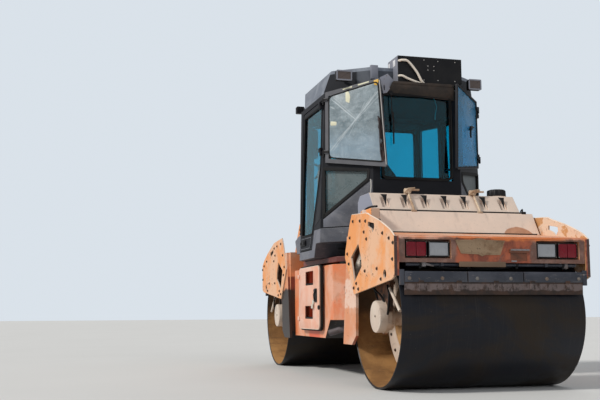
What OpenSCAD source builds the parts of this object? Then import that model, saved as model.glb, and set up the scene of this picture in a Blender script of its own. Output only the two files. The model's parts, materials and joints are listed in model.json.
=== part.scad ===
// Tandem road roller with cab: two steel drums under an articulated frame.
// +X is forward, +Y is the left side, Z is up, the ground is Z = 0.

/* [Drums] */
// Distance between the two drum axles
wheelbase = 3360; // [3300:10:3450]
// Drum outer diameter
drum_d = 1120; // [1100:5:1140]
// Drum width
drum_w = 1500; // [1460:5:1500]
// Thickness of the drum shell
drum_t = 17; // [12:1:24]
// Depth of the drum web behind the drum edge
web_in = 330; // [300:10:360]

/* [Frame] */
// Clearance between a drum and the side plates
drum_gap = 41; // [38:1:48]
// Thickness of the bolted side plates
plate_t = 14; // [10:1:18]
// Height of the decks beside the cab
deck_z = 1236; // [1225:2:1250]
// Height of the deck at the end panel
deck_end_z = 1156; // [1145:2:1165]
// Lower edge of the end panels
panel_z = 958; // [950:2:970]
// Distance of the articulation pin behind the middle
pivot_back = 700; // [695:1:705]

/* [Centre box] */
// Clearance between the box under the cab and the legs of the yokes
box_gap = 47; // [40:1:56]
// Lower edge of the box
box_z0 = 352; // [340:4:370]
// Upper edge of the box
box_z1 = 1036; // [1024:2:1040]
// How far the step covers stand out
cover_t = 38; // [30:1:40]

/* [Cab] */
// Lower edge of the cab
cab_z0 = 1110; // [1104:2:1116]
// Height of the belt line
belt_z = 1372; // [1364:2:1380]
// Underside of the roof
roof_z0 = 2660; // [2650:5:2670]
// Thickness of the roof
roof_t = 212; // [200:2:220]
// Width of the cab at its lower edge
cab_w0 = 1652; // [1640:2:1660]
// How far each side of the cab leans in up to the roof
cab_lean = 50; // [44:1:56]
// Thickness of the cab posts
post_t = 45; // [38:1:52]
// Thickness of the panes
pane_t = 6; // [5:1:8]

/* [Tank] */
// Width of the water tank
tank_w = 1330; // [1300:10:1350]
// Height of the tank top
tank_z = 1592; // [1580:2:1604]

/* [Hidden] */
$fn = 64;

orange = [0.90, 0.42, 0.16];
beige = [0.80, 0.72, 0.62];
dark = [0.12, 0.12, 0.14];
steel = [0.52, 0.50, 0.47];
grey = [0.34, 0.35, 0.40];
redbrown = [0.45, 0.12, 0.10];
glass = [0.35, 0.55, 0.62];

axle_x = wheelbase / 2;
drum_r = drum_d / 2;
drum_y = drum_w / 2;
end_x = axle_x + drum_r;
in_y = drum_y + drum_gap;
plate_y = in_y + plate_t;
cheek_t = 24;
cheek_y = in_y - cheek_t;
beam_x0 = 1000;
beam_x1 = axle_x - drum_r - 30;
box_y = cheek_y - box_gap;
pivot_x = -pivot_back;
knee_x = 1560;
cab_y0 = cab_w0 / 2;
cab_y1 = cab_y0 - cab_lean;
cab_back = 750;
cab_front = 750;
back_y = 430;
front_y = 640;
post_x = -360;
fore_x = 440;
waist_y = cab_y0 - 26;
door_hinge_x = -352;
door_front_x = 385;
door_z0 = cab_z0 + 80;
door_z1 = roof_z0 - 50;

// Mirrors a part from the left side to the right side.
module to_right() { mirror([0, 1, 0]) children(); }
module both_sides() {
  children();
  mirror([0, 1, 0]) children();
}
// The rear end is laid out like the front end, seen in a mirror.
module to_rear() { mirror([1, 0, 0]) children(); }
// Extrudes an outline given in X and Z from y0 to y1.
module slab(y0, y1, pts) {
  translate([0, y1, 0]) rotate([90, 0, 0]) linear_extrude(height = y1 - y0) polygon(pts);
}
module box(x0, x1, y0, y1, z0, z1) {
  translate([x0, y0, z0]) cube([x1 - x0, y1 - y0, z1 - z0]);
}
module rod_y(x, z, r, y0, y1) {
  translate([x, y1, z]) rotate([90, 0, 0]) cylinder(r = r, h = y1 - y0);
}
module rod_x(y, z, r, x0, x1) {
  translate([x0, y, z]) rotate([0, 90, 0]) cylinder(r = r, h = x1 - x0);
}

// Outline of the bolted side plate of the front end, in X and Z.
side_pts = [
  [axle_x - 430, drum_r + 845], [axle_x - 60, drum_r + 820], [axle_x + 30, drum_r + 795],
  [axle_x + 260, drum_r + 727], [axle_x + 470, drum_r + 645], [end_x, drum_r + 590],
  [end_x, drum_r + 297], [end_x - 65, drum_r + 272], [axle_x - 390, drum_r + 180],
  [axle_x - 624, drum_r + 494], [axle_x - 608, drum_r + 561], [axle_x - 489, drum_r + 765]];
diamond_pts = [
  [axle_x - 262, drum_r + 590], [axle_x - 195, drum_r + 470], [axle_x - 185, drum_r + 400],
  [axle_x - 373, drum_r + 282], [axle_x - 459, drum_r + 489]];
lift_pts = [
  [axle_x - 16, drum_r + 748], [axle_x + 130, drum_r + 722], [axle_x + 135, drum_r + 690],
  [axle_x + 100, drum_r + 652], [axle_x + 60, drum_r + 686], [axle_x - 18, drum_r + 714]];

module side_plate() {
  difference() {
    slab(in_y, plate_y, side_pts);
    slab(in_y - 5, plate_y + 5, diamond_pts);
    slab(in_y - 5, plate_y + 5, lift_pts);
    rod_y(axle_x + 354, drum_r + 319, 33, in_y - 5, plate_y + 5);
  }
  box(end_x - 14, end_x, cheek_y, in_y, drum_r + 300, drum_r + 588);
}

// Lower edge of the strip that joins the deck to a side plate.
function skirt_z(x) = x <= knee_x ? deck_z - 60
  : deck_z - 60 - (x - knee_x) * (deck_z - deck_end_z - 12) / (end_x - 14 - knee_x);
// The lamp recesses of an end panel lie between these two distances from the middle.
recess_y1 = cheek_y - 49;
recess_y0 = recess_y1 - 366;
// Leg, deck, cross beam and end panel of one end, laid out at the front.
module yoke() {
  both_sides() {
    slab(cheek_y, in_y, [
      [axle_x - 640, drum_r + 461], [axle_x - 735, drum_r - 235], [axle_x - 500, drum_r - 235],
      [axle_x - 395, drum_r - 160], [axle_x - 380, drum_r + 190], [axle_x - 500, drum_r + 440],
      [axle_x - 420, deck_z - 60], [knee_x, skirt_z(knee_x)], [end_x - 14, skirt_z(end_x - 14)],
      [end_x - 14, deck_end_z], [knee_x, deck_z], [axle_x - 610, deck_z]]);
    box(end_x - 40, end_x - 14, cheek_y, in_y, panel_z, deck_end_z - 40);
  }
  slab(-cheek_y, cheek_y, [
    [beam_x0, deck_z - 12], [knee_x, deck_z - 12], [end_x - 5, deck_end_z - 12],
    [end_x - 5, deck_end_z], [knee_x, deck_z], [beam_x0, deck_z]]);
  box(beam_x0, beam_x1, -cheek_y, cheek_y, box_z0 + 40, deck_z - 12);
  difference() {
    box(end_x - 19, end_x - 5, -cheek_y, cheek_y, panel_z, deck_end_z - 6);
    both_sides() box(end_x - 30, end_x + 5, recess_y0, recess_y1, panel_z + 30, deck_end_z - 28);
  }
  both_sides() difference() {
    box(end_x - 80, end_x - 19, recess_y0 - 12, recess_y1 + 12, panel_z + 18, deck_end_z - 16);
    box(end_x - 74, end_x + 5, recess_y0, recess_y1, panel_z + 30, deck_end_z - 28);
  }
}

// Lamp units in the two recesses of one end panel.
module lamps() {
  both_sides() {
    box(end_x - 74, end_x - 22, recess_y1 - 176, recess_y1 - 12, panel_z + 42, deck_end_z - 42);
    box(end_x - 74, end_x - 22, recess_y0 + 10, recess_y0 + 176, panel_z + 42, deck_end_z - 42);
  }
}

// Drum bearing with its motor and the bent arm that holds it.
module hub_arm() {
  hub_y = drum_y + 8;
  rod_y(axle_x, drum_r, 119, hub_y - 58, hub_y);
  rod_y(axle_x, drum_r, 105, hub_y - 130, hub_y - 58);
  rod_y(axle_x, drum_r, 70, drum_y - web_in + 0.3, hub_y - 130);
  slab(hub_y - 98, hub_y - 62, [
    [axle_x - 170, drum_r + 300], [axle_x - 110, drum_r - 60], [axle_x, drum_r - 140],
    [axle_x + 110, drum_r - 60], [axle_x + 170, drum_r + 300], [axle_x + 170, drum_r + 400],
    [axle_x - 170, drum_r + 400]]);
  box(axle_x - 170, axle_x + 170, hub_y - 98, in_y, drum_r + 340, drum_r + 400);
  slab(cheek_y, in_y, [
    [axle_x - 170, drum_r + 340], [axle_x + 170, drum_r + 340],
    [axle_x + 170, skirt_z(axle_x + 170)], [knee_x, skirt_z(knee_x)],
    [axle_x - 170, skirt_z(knee_x)]]);
}

// Scraper bar with its blade, and the spray pipe over the drum.
module scraper() {
  box(end_x - 11, end_x + 9, -drum_y + 20, drum_y - 20, drum_r + 250, drum_r + 332);
  slab(-drum_y + 20, drum_y - 20, [
    [end_x - 2, drum_r + 160], [end_x + 6, drum_r + 160], [end_x + 8, drum_r + 250],
    [end_x, drum_r + 250]]);
  both_sides() box(end_x - 11, end_x + 9, drum_y - 21, cheek_y, drum_r + 230, drum_r + 345);
}

module drum() {
  rotate([90, 0, 0]) rotate_extrude($fn = 128) polygon([
    [drum_r - drum_t, -drum_y], [drum_r - 6, -drum_y], [drum_r, -drum_y + 6],
    [drum_r, drum_y - 6], [drum_r - 6, drum_y], [drum_r - drum_t, drum_y],
    [drum_r - drum_t, drum_y - web_in], [0, drum_y - web_in], [0, drum_y - web_in - 24],
    [drum_r - drum_t, drum_y - web_in - 24], [drum_r - drum_t, -drum_y + web_in + 24],
    [0, -drum_y + web_in + 24], [0, -drum_y + web_in], [drum_r - drum_t, -drum_y + web_in]]);
}

// The corner faces run on past the posts by reach, up to these distances from the middle.
reach = 60;
rear_tip_y = waist_y + reach * (waist_y - back_y) / (cab_back + post_x);
fore_tip_y = waist_y + reach * (waist_y - front_y) / (cab_front - fore_x);
// Plan of the cab, drawn in by a margin m; the sides lean in towards the roof.
module cab_plan(m) {
  both_sides() polygon([
    [-cab_back + m, 0], [-cab_back + m, back_y - m * 0.4],
    [post_x + reach + m * 0.4, rear_tip_y - m], [fore_x - reach - m * 0.4, fore_tip_y - m],
    [cab_front - m, front_y - m * 0.4], [cab_front - m, 0]]);
}
module cab_prism(m, z0, z1) {
  lean = (cab_y0 - cab_y1) / (roof_z0 - cab_z0);
  w0 = cab_y0 - m - lean * (z0 - cab_z0);
  w1 = cab_y0 - m - lean * (z1 - cab_z0);
  intersection() {
    translate([0, 0, z0]) linear_extrude(height = z1 - z0) cab_plan(m);
    translate([-2000, 0, 0]) rotate([90, 0, 90]) linear_extrude(height = 4000)
      polygon([[-w0, z0], [w0, z0], [w1, z1], [-w1, z1]]);
  }
}
module cab_shell(m0, m1, z0, z1) {
  difference() {
    cab_prism(m0, z0, z1);
    cab_prism(m1, z0 - 1, z1 + 1);
  }
}
rear_w = back_y - 72;
shield_w = front_y - 50;
rear_z = belt_z + 426;
// Outline of a door in X and Z, drawn in by a gap g.
function door_pts(g) = [
  [door_front_x - g * 1.75, door_z0 + g], [door_front_x - g * 1.75, door_z1 - g],
  [door_hinge_x + g, door_z1 - g], [door_hinge_x + g, belt_z + 590],
  [-60 + g * 1.1, door_z0 + g]];
function pane_pts(g) = [
  [door_front_x - g, door_z0 + 145], [door_front_x - g, door_z1 - g],
  [door_hinge_x + g, door_z1 - g], [door_hinge_x + g, belt_z + 590],
  [-113 + g * 1.1, door_z0 + 145]];
module door_leaf(m0, m1, g) {
  intersection() {
    cab_shell(m0, m1, cab_z0, roof_z0);
    slab(100, cab_y0 + 100, door_pts(g));
  }
}
door_hinge_y = waist_y + 14;
door_hinge_z = [belt_z + 688, roof_z0 - 160];
// Fixed half of the door hinges, on the door post.
module door_knuckles() {
  for (z = door_hinge_z) {
    difference() {
      box(door_hinge_x - 24, door_hinge_x, waist_y - 160, door_hinge_y + 7, z, z + 38);
      cab_prism(4, belt_z, roof_z0);
    }
    translate([door_hinge_x, door_hinge_y, z]) cylinder(r = 10, h = 38);
  }
}
module door() {
  for (z = door_hinge_z) {
    difference() {
      box(door_hinge_x, door_hinge_x + 50, waist_y - 160, door_hinge_y + 7, z + 38.3, z + 76);
      cab_prism(6, cab_z0, roof_z0);
    }
    translate([door_hinge_x, door_hinge_y, z + 38.3]) cylinder(r = 10, h = 37.7);
  }
  difference() {
    door_leaf(2, 34, 8);
    slab(100, cab_y0 + 100, pane_pts(46));
  }
}
module door_pane() {
  intersection() {
    cab_shell(14, 14 + pane_t, cab_z0, roof_z0);
    slab(100, cab_y0 + 100, pane_pts(46));
  }
}

// Frame of a rear corner: X runs along the corner face from the door post to the rear.
corner_len = norm([cab_back + post_x, waist_y - back_y]);
corner_a = atan2(back_y - waist_y, -cab_back - post_x);
module on_corner() {
  translate([post_x, waist_y, 0]) rotate([0, 0, corner_a]) mirror([0, 1, 0]) children();
}
vent_pts = [[50, belt_z + 613], [corner_len + 140, belt_z + 520],
  [corner_len + 150, belt_z + 532], [corner_len + 92, roof_z0 + 46],
  [corner_len + 82, roof_z0 + 56], [54, roof_z0 - 4]];
vent_in_pts = [[86, belt_z + 648], [corner_len + 104, belt_z + 564],
  [corner_len + 54, roof_z0 + 12], [88, roof_z0 - 44]];
vent_hole_pts = [[76, belt_z + 640], [corner_len - 42, belt_z + 586],
  [corner_len - 42, roof_z0 - 40], [84, roof_z0 - 50]];
low_pts = [[14, belt_z + 108], [corner_len - 52, belt_z + 424],
  [corner_len - 42, belt_z + 512], [14, belt_z + 561]];
// Outline in X and Z of the small window between the rear post and the leaning edge of a door.
nook_pts = [[post_x + 16, belt_z + 450], [post_x + 16, belt_z + 122], [post_x + 170, belt_z + 58]];
// Frame of a front corner: X runs along the corner face from the door post to the front.
module on_front_corner() {
  translate([fore_x, waist_y, 0]) rotate([0, 0, atan2(front_y - waist_y, cab_front - fore_x)])
    children();
}
front_len = norm([cab_front - fore_x, waist_y - front_y]);
shield_z = belt_z + 68;
front_in_pts = [[46, shield_z], [front_len - 46, shield_z], [front_len - 46, roof_z0 - 90],
  [46, roof_z0 - 90]];
vent_hinge_z = [belt_z + 668, roof_z0 - 120];
vent_hinge_s = 34;
module vent_knuckles() {
  on_corner() for (z = vent_hinge_z) {
    box(vent_hinge_s - 4, vent_hinge_s + 8, -4, 30, z, z + 30);
    translate([vent_hinge_s, 30, z]) cylinder(r = 8, h = 30);
  }
}
module vent() {
  on_corner() {
    difference() {
      slab(3, 27, vent_pts);
      slab(0, 40, vent_in_pts);
    }
    for (z = vent_hinge_z) {
      box(vent_hinge_s, vent_hinge_s + 46, 27, 36, z + 30.3, z + 60);
      translate([vent_hinge_s, 30, z + 30.3]) cylinder(r = 8, h = 29.7);
    }
  }
}
module vent_pane() {
  on_corner() slab(12, 12 + pane_t, vent_in_pts);
}

module step_cover() {
  difference() {
    box(-130, 620, box_y + 2, box_y + 2 + cover_t, box_z0 + 78, box_z1 + 4);
    box(-112, 602, box_y - 2, box_y - 8 + cover_t, box_z0 + 96, box_z1 - 14);
    box(80, 370, box_y - 2, box_y + 60, box_z1 - 176, box_z1 - 40);
    box(100, 390, box_y - 2, box_y + 60, box_z0 + 178, box_z0 + 304);
  }
  for (z = [box_z0 + 120, box_z1 - 140]) {
    box(step_hinge_x - 42, step_hinge_x, box_y + 2 + cover_t, step_hinge_y + 6, z + 40.3, z + 80);
    translate([step_hinge_x, step_hinge_y, z + 40.3]) cylinder(r = 8, h = 39.7);
  }
}

// Outline of the centre box seen from above and from the side, drawn in by a wall w.
module box_form(w) {
  intersection() {
    translate([0, 0, box_z0]) linear_extrude(height = 1000) polygon([
      [-620 + w, -480 + w * 0.5], [-620 + w, 480 - w * 0.5], [-420 + w * 0.5, box_y - w],
      [beam_x0 - w, box_y - w], [beam_x0 - w, -box_y + w], [-420 + w * 0.5, -box_y + w]]);
    slab(-900, 900, [[-900, box_z0 + 170 + w], [-315 - w * 0.3, box_z0 + 170 + w],
      [-150 - w * 0.3, box_z0 + w], [beam_x0 + 10, box_z0 + w], [beam_x0 + 10, box_z1 - w],
      [-900, box_z1 - w]]);
  }
}
step_hinge_x = 632;
step_hinge_y = box_y + cover_t + 8;
module centre_box() color(orange) {
  difference() {
    box_form(0);
    box_form(10);
    both_sides() {
      box(60, 410, box_y - 40, box_y + 40, box_z1 - 190, box_z1 - 26);
      box(60, 410, box_y - 40, box_y + 40, box_z0 + 160, box_z0 + 320);
    }
  }
  both_sides() {
    difference() {
      box(50, 420, box_y - 170, box_y - 8, box_z0 + 150, box_z1 - 16);
      box(60, 410, box_y - 160, box_y, box_z0 + 160, box_z0 + 320);
      box(60, 410, box_y - 160, box_y, box_z1 - 190, box_z1 - 26);
    }
    for (z = [box_z0 + 120, box_z1 - 140]) {
      box(step_hinge_x - 8, step_hinge_x + 8, box_y - 6, step_hinge_y, z, z + 40);
      translate([step_hinge_x, step_hinge_y, z]) cylinder(r = 8, h = 40);
    }
  }
}
hood_hinge_x = knee_x + 6;
hood_hinge_z = deck_z + 16;
module front_yoke() color(orange) {
  yoke();
  for (y = [-460, 400]) {
    box(hood_hinge_x - 9, hood_hinge_x + 9, y, y + 60, deck_z - 6, hood_hinge_z);
    rod_y(hood_hinge_x, hood_hinge_z, 10, y, y + 60);
  }
}
module front_side_plates() color(orange) both_sides() side_plate();
module front_hub_arms() color(orange) both_sides() hub_arm();
module front_scraper() color(steel) scraper();
module front_lamps() color([0.85, 0.85, 0.82]) lamps();
module engine() color(dark) box(1120, 1390, -420, 420, deck_z, deck_z + 200);
hood_pts = [[1020, deck_z + 0.3], [1020, 1540], [1070, 1580], [1330, 1572], [1430, 1440],
  [knee_x - 6, deck_z + 0.3]];
hood_in_pts = [[1030, deck_z - 1], [1030, 1536], [1074, 1570], [1325, 1562], [1420, 1436],
  [knee_x - 18, deck_z - 1]];
module engine_hood() color(orange) {
  difference() {
    slab(-580, 580, hood_pts);
    slab(-570, 570, hood_in_pts);
    for (z = [1300:50:1500]) box(1120, 1340, -700, 700, z, z + 22);
  }
  for (y = [-521.3, 460.3]) {
    box(knee_x - 22, hood_hinge_x, y, y + 61, hood_hinge_z - 6, hood_hinge_z + 6);
    rod_y(hood_hinge_x, hood_hinge_z, 10, y, y + 61);
  }
}
module exhaust_pipe() color(steel) {
  difference() {
    translate([-420, box_y - 160, box_z0 - 14]) cylinder(r = 36, h = 184);
    translate([-420, box_y - 160, box_z0 - 20]) cylinder(r = 30, h = 100);
  }
}
module cab_mounts() color(dark) for (x = [-440, 560]) both_sides()
  translate([x, box_y - 110, box_z1]) cylinder(r = 46, h = cab_z0 - 50 - box_z1);
module cab_base() color(redbrown) {
  translate([0, 0, cab_z0 - 50]) linear_extrude(height = 50) polygon([
    [-640, -400], [-640, 400], [-400, box_y - 40], [640, box_y], [700, 400], [700, -400],
    [640, -box_y], [-400, 40 - box_y]]);
}
skirt_x = -150;
module cab_body() color(grey) {
  difference() {
    union() {
      cab_prism(0, cab_z0, belt_z);
      intersection() {
        slab(-790, 790, [[fore_x, door_z0], [640, door_z0], [716, belt_z - 42], [570, belt_z],
          [fore_x, belt_z]]);
        cab_prism(-400, cab_z0, belt_z);
      }
    }
    intersection() {
      cab_prism(34, door_z0, belt_z + 1);
      slab(-900, 900, [[skirt_x - 10, door_z0], [900, door_z0], [900, belt_z + 1],
        [-900, belt_z + 1], [-900, cab_z0 + 155], [skirt_x - 30, cab_z0 + 155]]);
    }
    both_sides() slab(100, cab_y0 + 100, door_pts(0));
    slab(-900, 900, [[-900, cab_z0 - 1], [skirt_x, cab_z0 - 1],
      [skirt_x - 50, cab_z0 + 130], [-900, cab_z0 + 130]]);
  }
}
module cab_frame() color(dark) {
  difference() {
    cab_shell(0, post_t, belt_z, roof_z0);
    both_sides() {
      slab(100, cab_y0 + 100, door_pts(0));
      slab(100, cab_y0 + 100, nook_pts);
    }
    both_sides() on_corner() {
      slab(-70, 20, vent_hole_pts);
      slab(-70, 20, low_pts);
    }
    box(-900, -600, -rear_w, rear_w, rear_z, roof_z0 - 60);
    box(650, 900, -shield_w, shield_w, shield_z, roof_z0 - 90);
    both_sides() on_front_corner() slab(-70, 20, front_in_pts);
  }
  both_sides() {
    door_knuckles();
    vent_knuckles();
  }
}
roof_y = cab_y1 - 6;
roof_half = [[-640, 400], [-420, roof_y - 70], [-340, roof_y], [fore_x - 40, roof_y - 10],
  [cab_front - 10, front_y + 20], [cab_front + 60, front_y - 60]];
module roof_solid() {
  intersection() {
    translate([0, 0, roof_z0]) linear_extrude(height = roof_t)
      polygon(concat(roof_half, [for (i = [5:-1:0]) [roof_half[i][0], -roof_half[i][1]]]));
    translate([-2000, 0, 0]) rotate([90, 0, 90]) linear_extrude(height = 4000) polygon([
      [-cab_y1, roof_z0], [cab_y1, roof_z0], [cab_y1 - 61, roof_z0 + roof_t],
      [61 - cab_y1, roof_z0 + roof_t]]);
  }
}
module cab_roof() color(grey) roof_solid();
module roof_shelf() color([0.55, 0.55, 0.52]) {
  translate([0, 0, roof_z0 + 36]) linear_extrude(height = 8) polygon([
    [-800, 240], [-800, -360], [-665, -490], [-640, -490], [-640, 240]]);
}
module ac_box() color([0.20, 0.20, 0.19]) difference() {
  slab(-466, 176, [
    [-760, roof_z0 + 44], [-760, roof_z0 + 305], [-500, roof_z0 + 305],
    [-500, roof_z0 + roof_t], [-640, roof_z0 + roof_t], [-640, roof_z0 + 44]]);
  box(-800, -600, -500, -400, roof_z0 + 40, roof_z0 + 68);
}
module work_lamps() color([0.3, 0.3, 0.3]) difference() {
  union() {
    box(-620, -560, roof_y - 190, roof_y - 42, roof_z0 + 74, roof_z0 + 168);
    box(-570, -420, roof_y - 130, roof_y - 100, roof_z0 + 110, roof_z0 + 140);
    box(-620, -560, 35 - roof_y, 165 - roof_y, roof_z0 + 62, roof_z0 + 162);
    box(-570, -420, 85 - roof_y, 115 - roof_y, roof_z0 + 90, roof_z0 + 130);
    both_sides() {
      box(660, 720, roof_y - 76, roof_y + 8, roof_z0 + 32, roof_z0 + 106);
      box(540, 665, roof_y - 115, roof_y - 60, roof_z0 + 44, roof_z0 + 80);
    }
  }
  roof_solid();
  cab_prism(0, belt_z, roof_z0);
}
module cab_glass() color(glass) {
  box(-cab_back + 16, -cab_back + 16 + pane_t, -rear_w, rear_w, rear_z, roof_z0 - 60);
  box(cab_front - 16 - pane_t, cab_front - 16, -shield_w, shield_w, shield_z, roof_z0 - 90);
  both_sides() {
    on_corner() slab(-20 - pane_t, -20, low_pts);
    intersection() {
      cab_shell(14, 14 + pane_t, belt_z, roof_z0);
      slab(100, cab_y0 + 100, nook_pts);
    }
  }
  both_sides() on_front_corner() slab(-20 - pane_t, -20, front_in_pts);
}
seat_z = door_z0 + 430;
// The seat slides across the cab and stands on the left.
seat_y = waist_y - 360;
module seat() color(dark) translate([0, seat_y, 0]) {
  box(-260, 200, -240, 240, seat_z, seat_z + 110);
  translate([-190, 0, seat_z + 40]) rotate([0, -10, 0]) translate([-110, -230, 0]) cube([110, 460, 640]);
}
module seat_base() color(dark) box(-150, 150, seat_y - 190, seat_y + 190, door_z0, seat_z);
module console() color(dark) {
  box(540, 700, seat_y - 440, seat_y - 40, door_z0, seat_z + 80);
  translate([470, seat_y - 140, seat_z + 240]) rotate([0, -30, 0]) {
    rotate_extrude() translate([180, 0]) circle(r = 15);
    translate([0, 0, -240]) cylinder(r = 24, h = 250);
    for (a = [0, 120, 240]) rotate([0, 0, a]) translate([0, -14, -8]) cube([180, 28, 16]);
  }
}
lug_z = [box_z0 + 200, box_z1 - 170];
lug_h = 50;
module front_pivot() color(orange) difference() {
  union() for (z = lug_z) {
    box(pivot_x, -620, -78, 78, z, z + lug_h);
    translate([pivot_x, 0, z]) cylinder(r = 78, h = lug_h);
  }
  translate([pivot_x, 0, 0]) cylinder(r = 52, h = 1500);
}
module rear_yoke() color(orange) to_rear() yoke();
module rear_side_plates() color(orange) to_rear() both_sides() side_plate();
module rear_hub_arms() color(orange) to_rear() both_sides() hub_arm();
module rear_scraper() color(steel) to_rear() scraper();
module rear_lamps() color([0.7, 0.1, 0.08]) to_rear() lamps();
tank_x = knee_x - 140;
tank_knee_z = tank_z - 152;
tank_pts = [[-beam_x0, deck_z], [-beam_x0, tank_z - 50], [-beam_x0 - 60, tank_z],
  [120 - tank_x, tank_z], [-tank_x, tank_knee_z], [-tank_x, deck_z]];
module water_tank() color(beige) difference() {
  slab(-tank_w / 2, tank_w / 2, tank_pts);
  for (y = [-530:180:560])
    slab(y - 30, y + 30, [
      [90 - tank_x, tank_z - 20], [-tank_x, tank_z - 132], [40 - tank_x, tank_z - 132],
      [90 - tank_x, tank_z - 72]]);
}
module tank_cover() color(beige) difference() {
  slab(21 - in_y, in_y - 21, [
    [-tank_x, deck_z], [-tank_x, tank_knee_z - 12], [-tank_x - 22, tank_knee_z - 12],
    [-knee_x, deck_z]]);
  slab(31 - in_y, in_y - 31, [
    [-tank_x - 6, deck_z - 5], [-tank_x - 6, tank_knee_z - 18], [-tank_x - 18, tank_knee_z - 18],
    [-knee_x + 8, deck_z - 5]]);
}
module tank_cap() color(dark) translate([-1200, 105 - tank_w / 2, tank_z + 0.3]) difference() {
  cylinder(r = 82, h = 70);
  for (a = [0:36:324]) rotate([0, 0, a + 18]) translate([88, 0, 18]) cylinder(r = 16, h = 60);
}
module tank_clamps() color(beige) for (y = [320, -280]) {
  slab(y - 12, y + 12, [
    [130 - tank_x, tank_z], [130 - tank_x, tank_z + 22], [108 - tank_x, tank_z + 22],
    [102 - tank_x, tank_z + 6], [-tank_x - 18, tank_knee_z + 10], [-tank_x, tank_knee_z],
    [120 - tank_x, tank_z]]);
  box(94 - tank_x, 132 - tank_x, y - 110, y + 16, tank_z + 22, tank_z + 38);
}
module rear_pivot() color(orange) {
  z0 = lug_z[0] + lug_h + 0.3;
  z1 = lug_z[1] - 0.3;
  box(-beam_x0, pivot_x, -110, 110, z0, z1);
  translate([pivot_x, 0, z0]) cylinder(r = 70, h = z1 - z0);
  translate([pivot_x, 0, lug_z[0] - 30]) cylinder(r = 50, h = lug_z[1] + lug_h + 60 - lug_z[0]);
}
module front_drum() color(steel) translate([axle_x, 0, drum_r]) drum();
module rear_drum() color(steel) translate([-axle_x, 0, drum_r]) drum();
module door_left() color(dark) door();
module door_right() color(dark) to_right() door();
module door_glass_left() color(glass) door_pane();
module door_glass_right() color(glass) to_right() door_pane();
module vent_left() color(dark) vent();
module vent_right() color(dark) to_right() vent();
module vent_glass_left() color(glass) vent_pane();
module vent_glass_right() color(glass) to_right() vent_pane();
module step_cover_left() color(orange) step_cover();
module step_cover_right() color(orange) to_right() step_cover();

centre_box();
front_yoke();
front_side_plates();
front_hub_arms();
front_scraper();
front_lamps();
engine();
engine_hood();
exhaust_pipe();
cab_mounts();
cab_base();
cab_body();
cab_frame();
cab_roof();
roof_shelf();
ac_box();
work_lamps();
cab_glass();
seat();
seat_base();
console();
front_pivot();
rear_yoke();
rear_side_plates();
rear_hub_arms();
rear_scraper();
rear_lamps();
water_tank();
tank_cover();
tank_cap();
tank_clamps();
rear_pivot();
front_drum();
rear_drum();
door_left();
door_right();
door_glass_left();
door_glass_right();
vent_left();
vent_right();
vent_glass_left();
vent_glass_right();
step_cover_left();
step_cover_right();
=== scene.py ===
"""Looks of a tandem road roller: paint, glass, drums, hoses, lamps and cab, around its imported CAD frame.

+X is forward, +Y is the left side, Z is up, and all lengths are metres.
"""

import json
import math

import bmesh
import bpy
import numpy as np
from mathutils import Matrix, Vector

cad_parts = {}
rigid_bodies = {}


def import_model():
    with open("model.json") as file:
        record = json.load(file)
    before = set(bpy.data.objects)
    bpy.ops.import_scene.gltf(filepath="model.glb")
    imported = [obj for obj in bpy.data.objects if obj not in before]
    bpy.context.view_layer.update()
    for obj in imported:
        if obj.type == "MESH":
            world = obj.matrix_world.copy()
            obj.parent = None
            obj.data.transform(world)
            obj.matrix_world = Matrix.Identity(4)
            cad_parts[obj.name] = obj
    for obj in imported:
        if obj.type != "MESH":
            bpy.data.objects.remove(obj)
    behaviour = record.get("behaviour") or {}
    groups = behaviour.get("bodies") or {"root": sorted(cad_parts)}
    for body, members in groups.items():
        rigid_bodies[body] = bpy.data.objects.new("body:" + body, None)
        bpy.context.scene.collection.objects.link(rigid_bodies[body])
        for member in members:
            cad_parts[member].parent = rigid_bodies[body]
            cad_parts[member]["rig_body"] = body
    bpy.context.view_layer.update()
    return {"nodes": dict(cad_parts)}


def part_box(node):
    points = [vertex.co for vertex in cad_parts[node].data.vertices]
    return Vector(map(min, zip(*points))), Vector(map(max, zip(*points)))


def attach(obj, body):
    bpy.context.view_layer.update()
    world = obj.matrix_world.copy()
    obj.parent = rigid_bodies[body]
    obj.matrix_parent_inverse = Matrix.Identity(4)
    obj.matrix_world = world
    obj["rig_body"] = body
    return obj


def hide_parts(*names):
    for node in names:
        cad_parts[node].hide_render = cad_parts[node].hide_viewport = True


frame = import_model()
NODES = frame["nodes"]
TURN = 2.0 * math.pi
MERGE = 1e-5


def size_of(node):
    """Lowest and highest corner of a CAD node as arrays."""
    low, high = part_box(node)
    return np.array(low), np.array(high)


# Driving sizes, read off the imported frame.
DRUM_LOW, DRUM_HIGH = size_of("front_drum")
DRUM_R = (DRUM_HIGH[0] - DRUM_LOW[0]) / 2
DRUM_Y = DRUM_HIGH[1]
AXLE_X = (DRUM_HIGH[0] + DRUM_LOW[0]) / 2
PLATE_Y = size_of("front_side_plates")[1][1]
END_X = size_of("front_side_plates")[1][0]
ROOF_LOW, ROOF_HIGH = size_of("cab_roof")
TANK_HIGH = size_of("water_tank")[1]
COVER_Y = size_of("step_cover_left")[1][1]
PLATE_T = 0.014
SHELL_T = 0.017
WEB_IN = 0.33
ENDS = (("front", 1.0), ("rear", -1.0))
SIDES = (("left", 1.0), ("right", -1.0))


# Shapes: each is a pair of a vertex array and a list of faces.


def ring_faces(rings, count, wrap_rings=False):
    """Quads between neighbouring closed rings of count points each, as an array of four indices a row."""
    k = np.arange(rings if wrap_rings else rings - 1)[:, None]
    j = np.arange(count)[None, :]
    n = (j + 1) % count
    up = (k + 1) % rings
    quads = np.stack([k * count + j, k * count + n, up * count + n, up * count + j], axis=-1)
    return quads.reshape(-1, 4)


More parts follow.
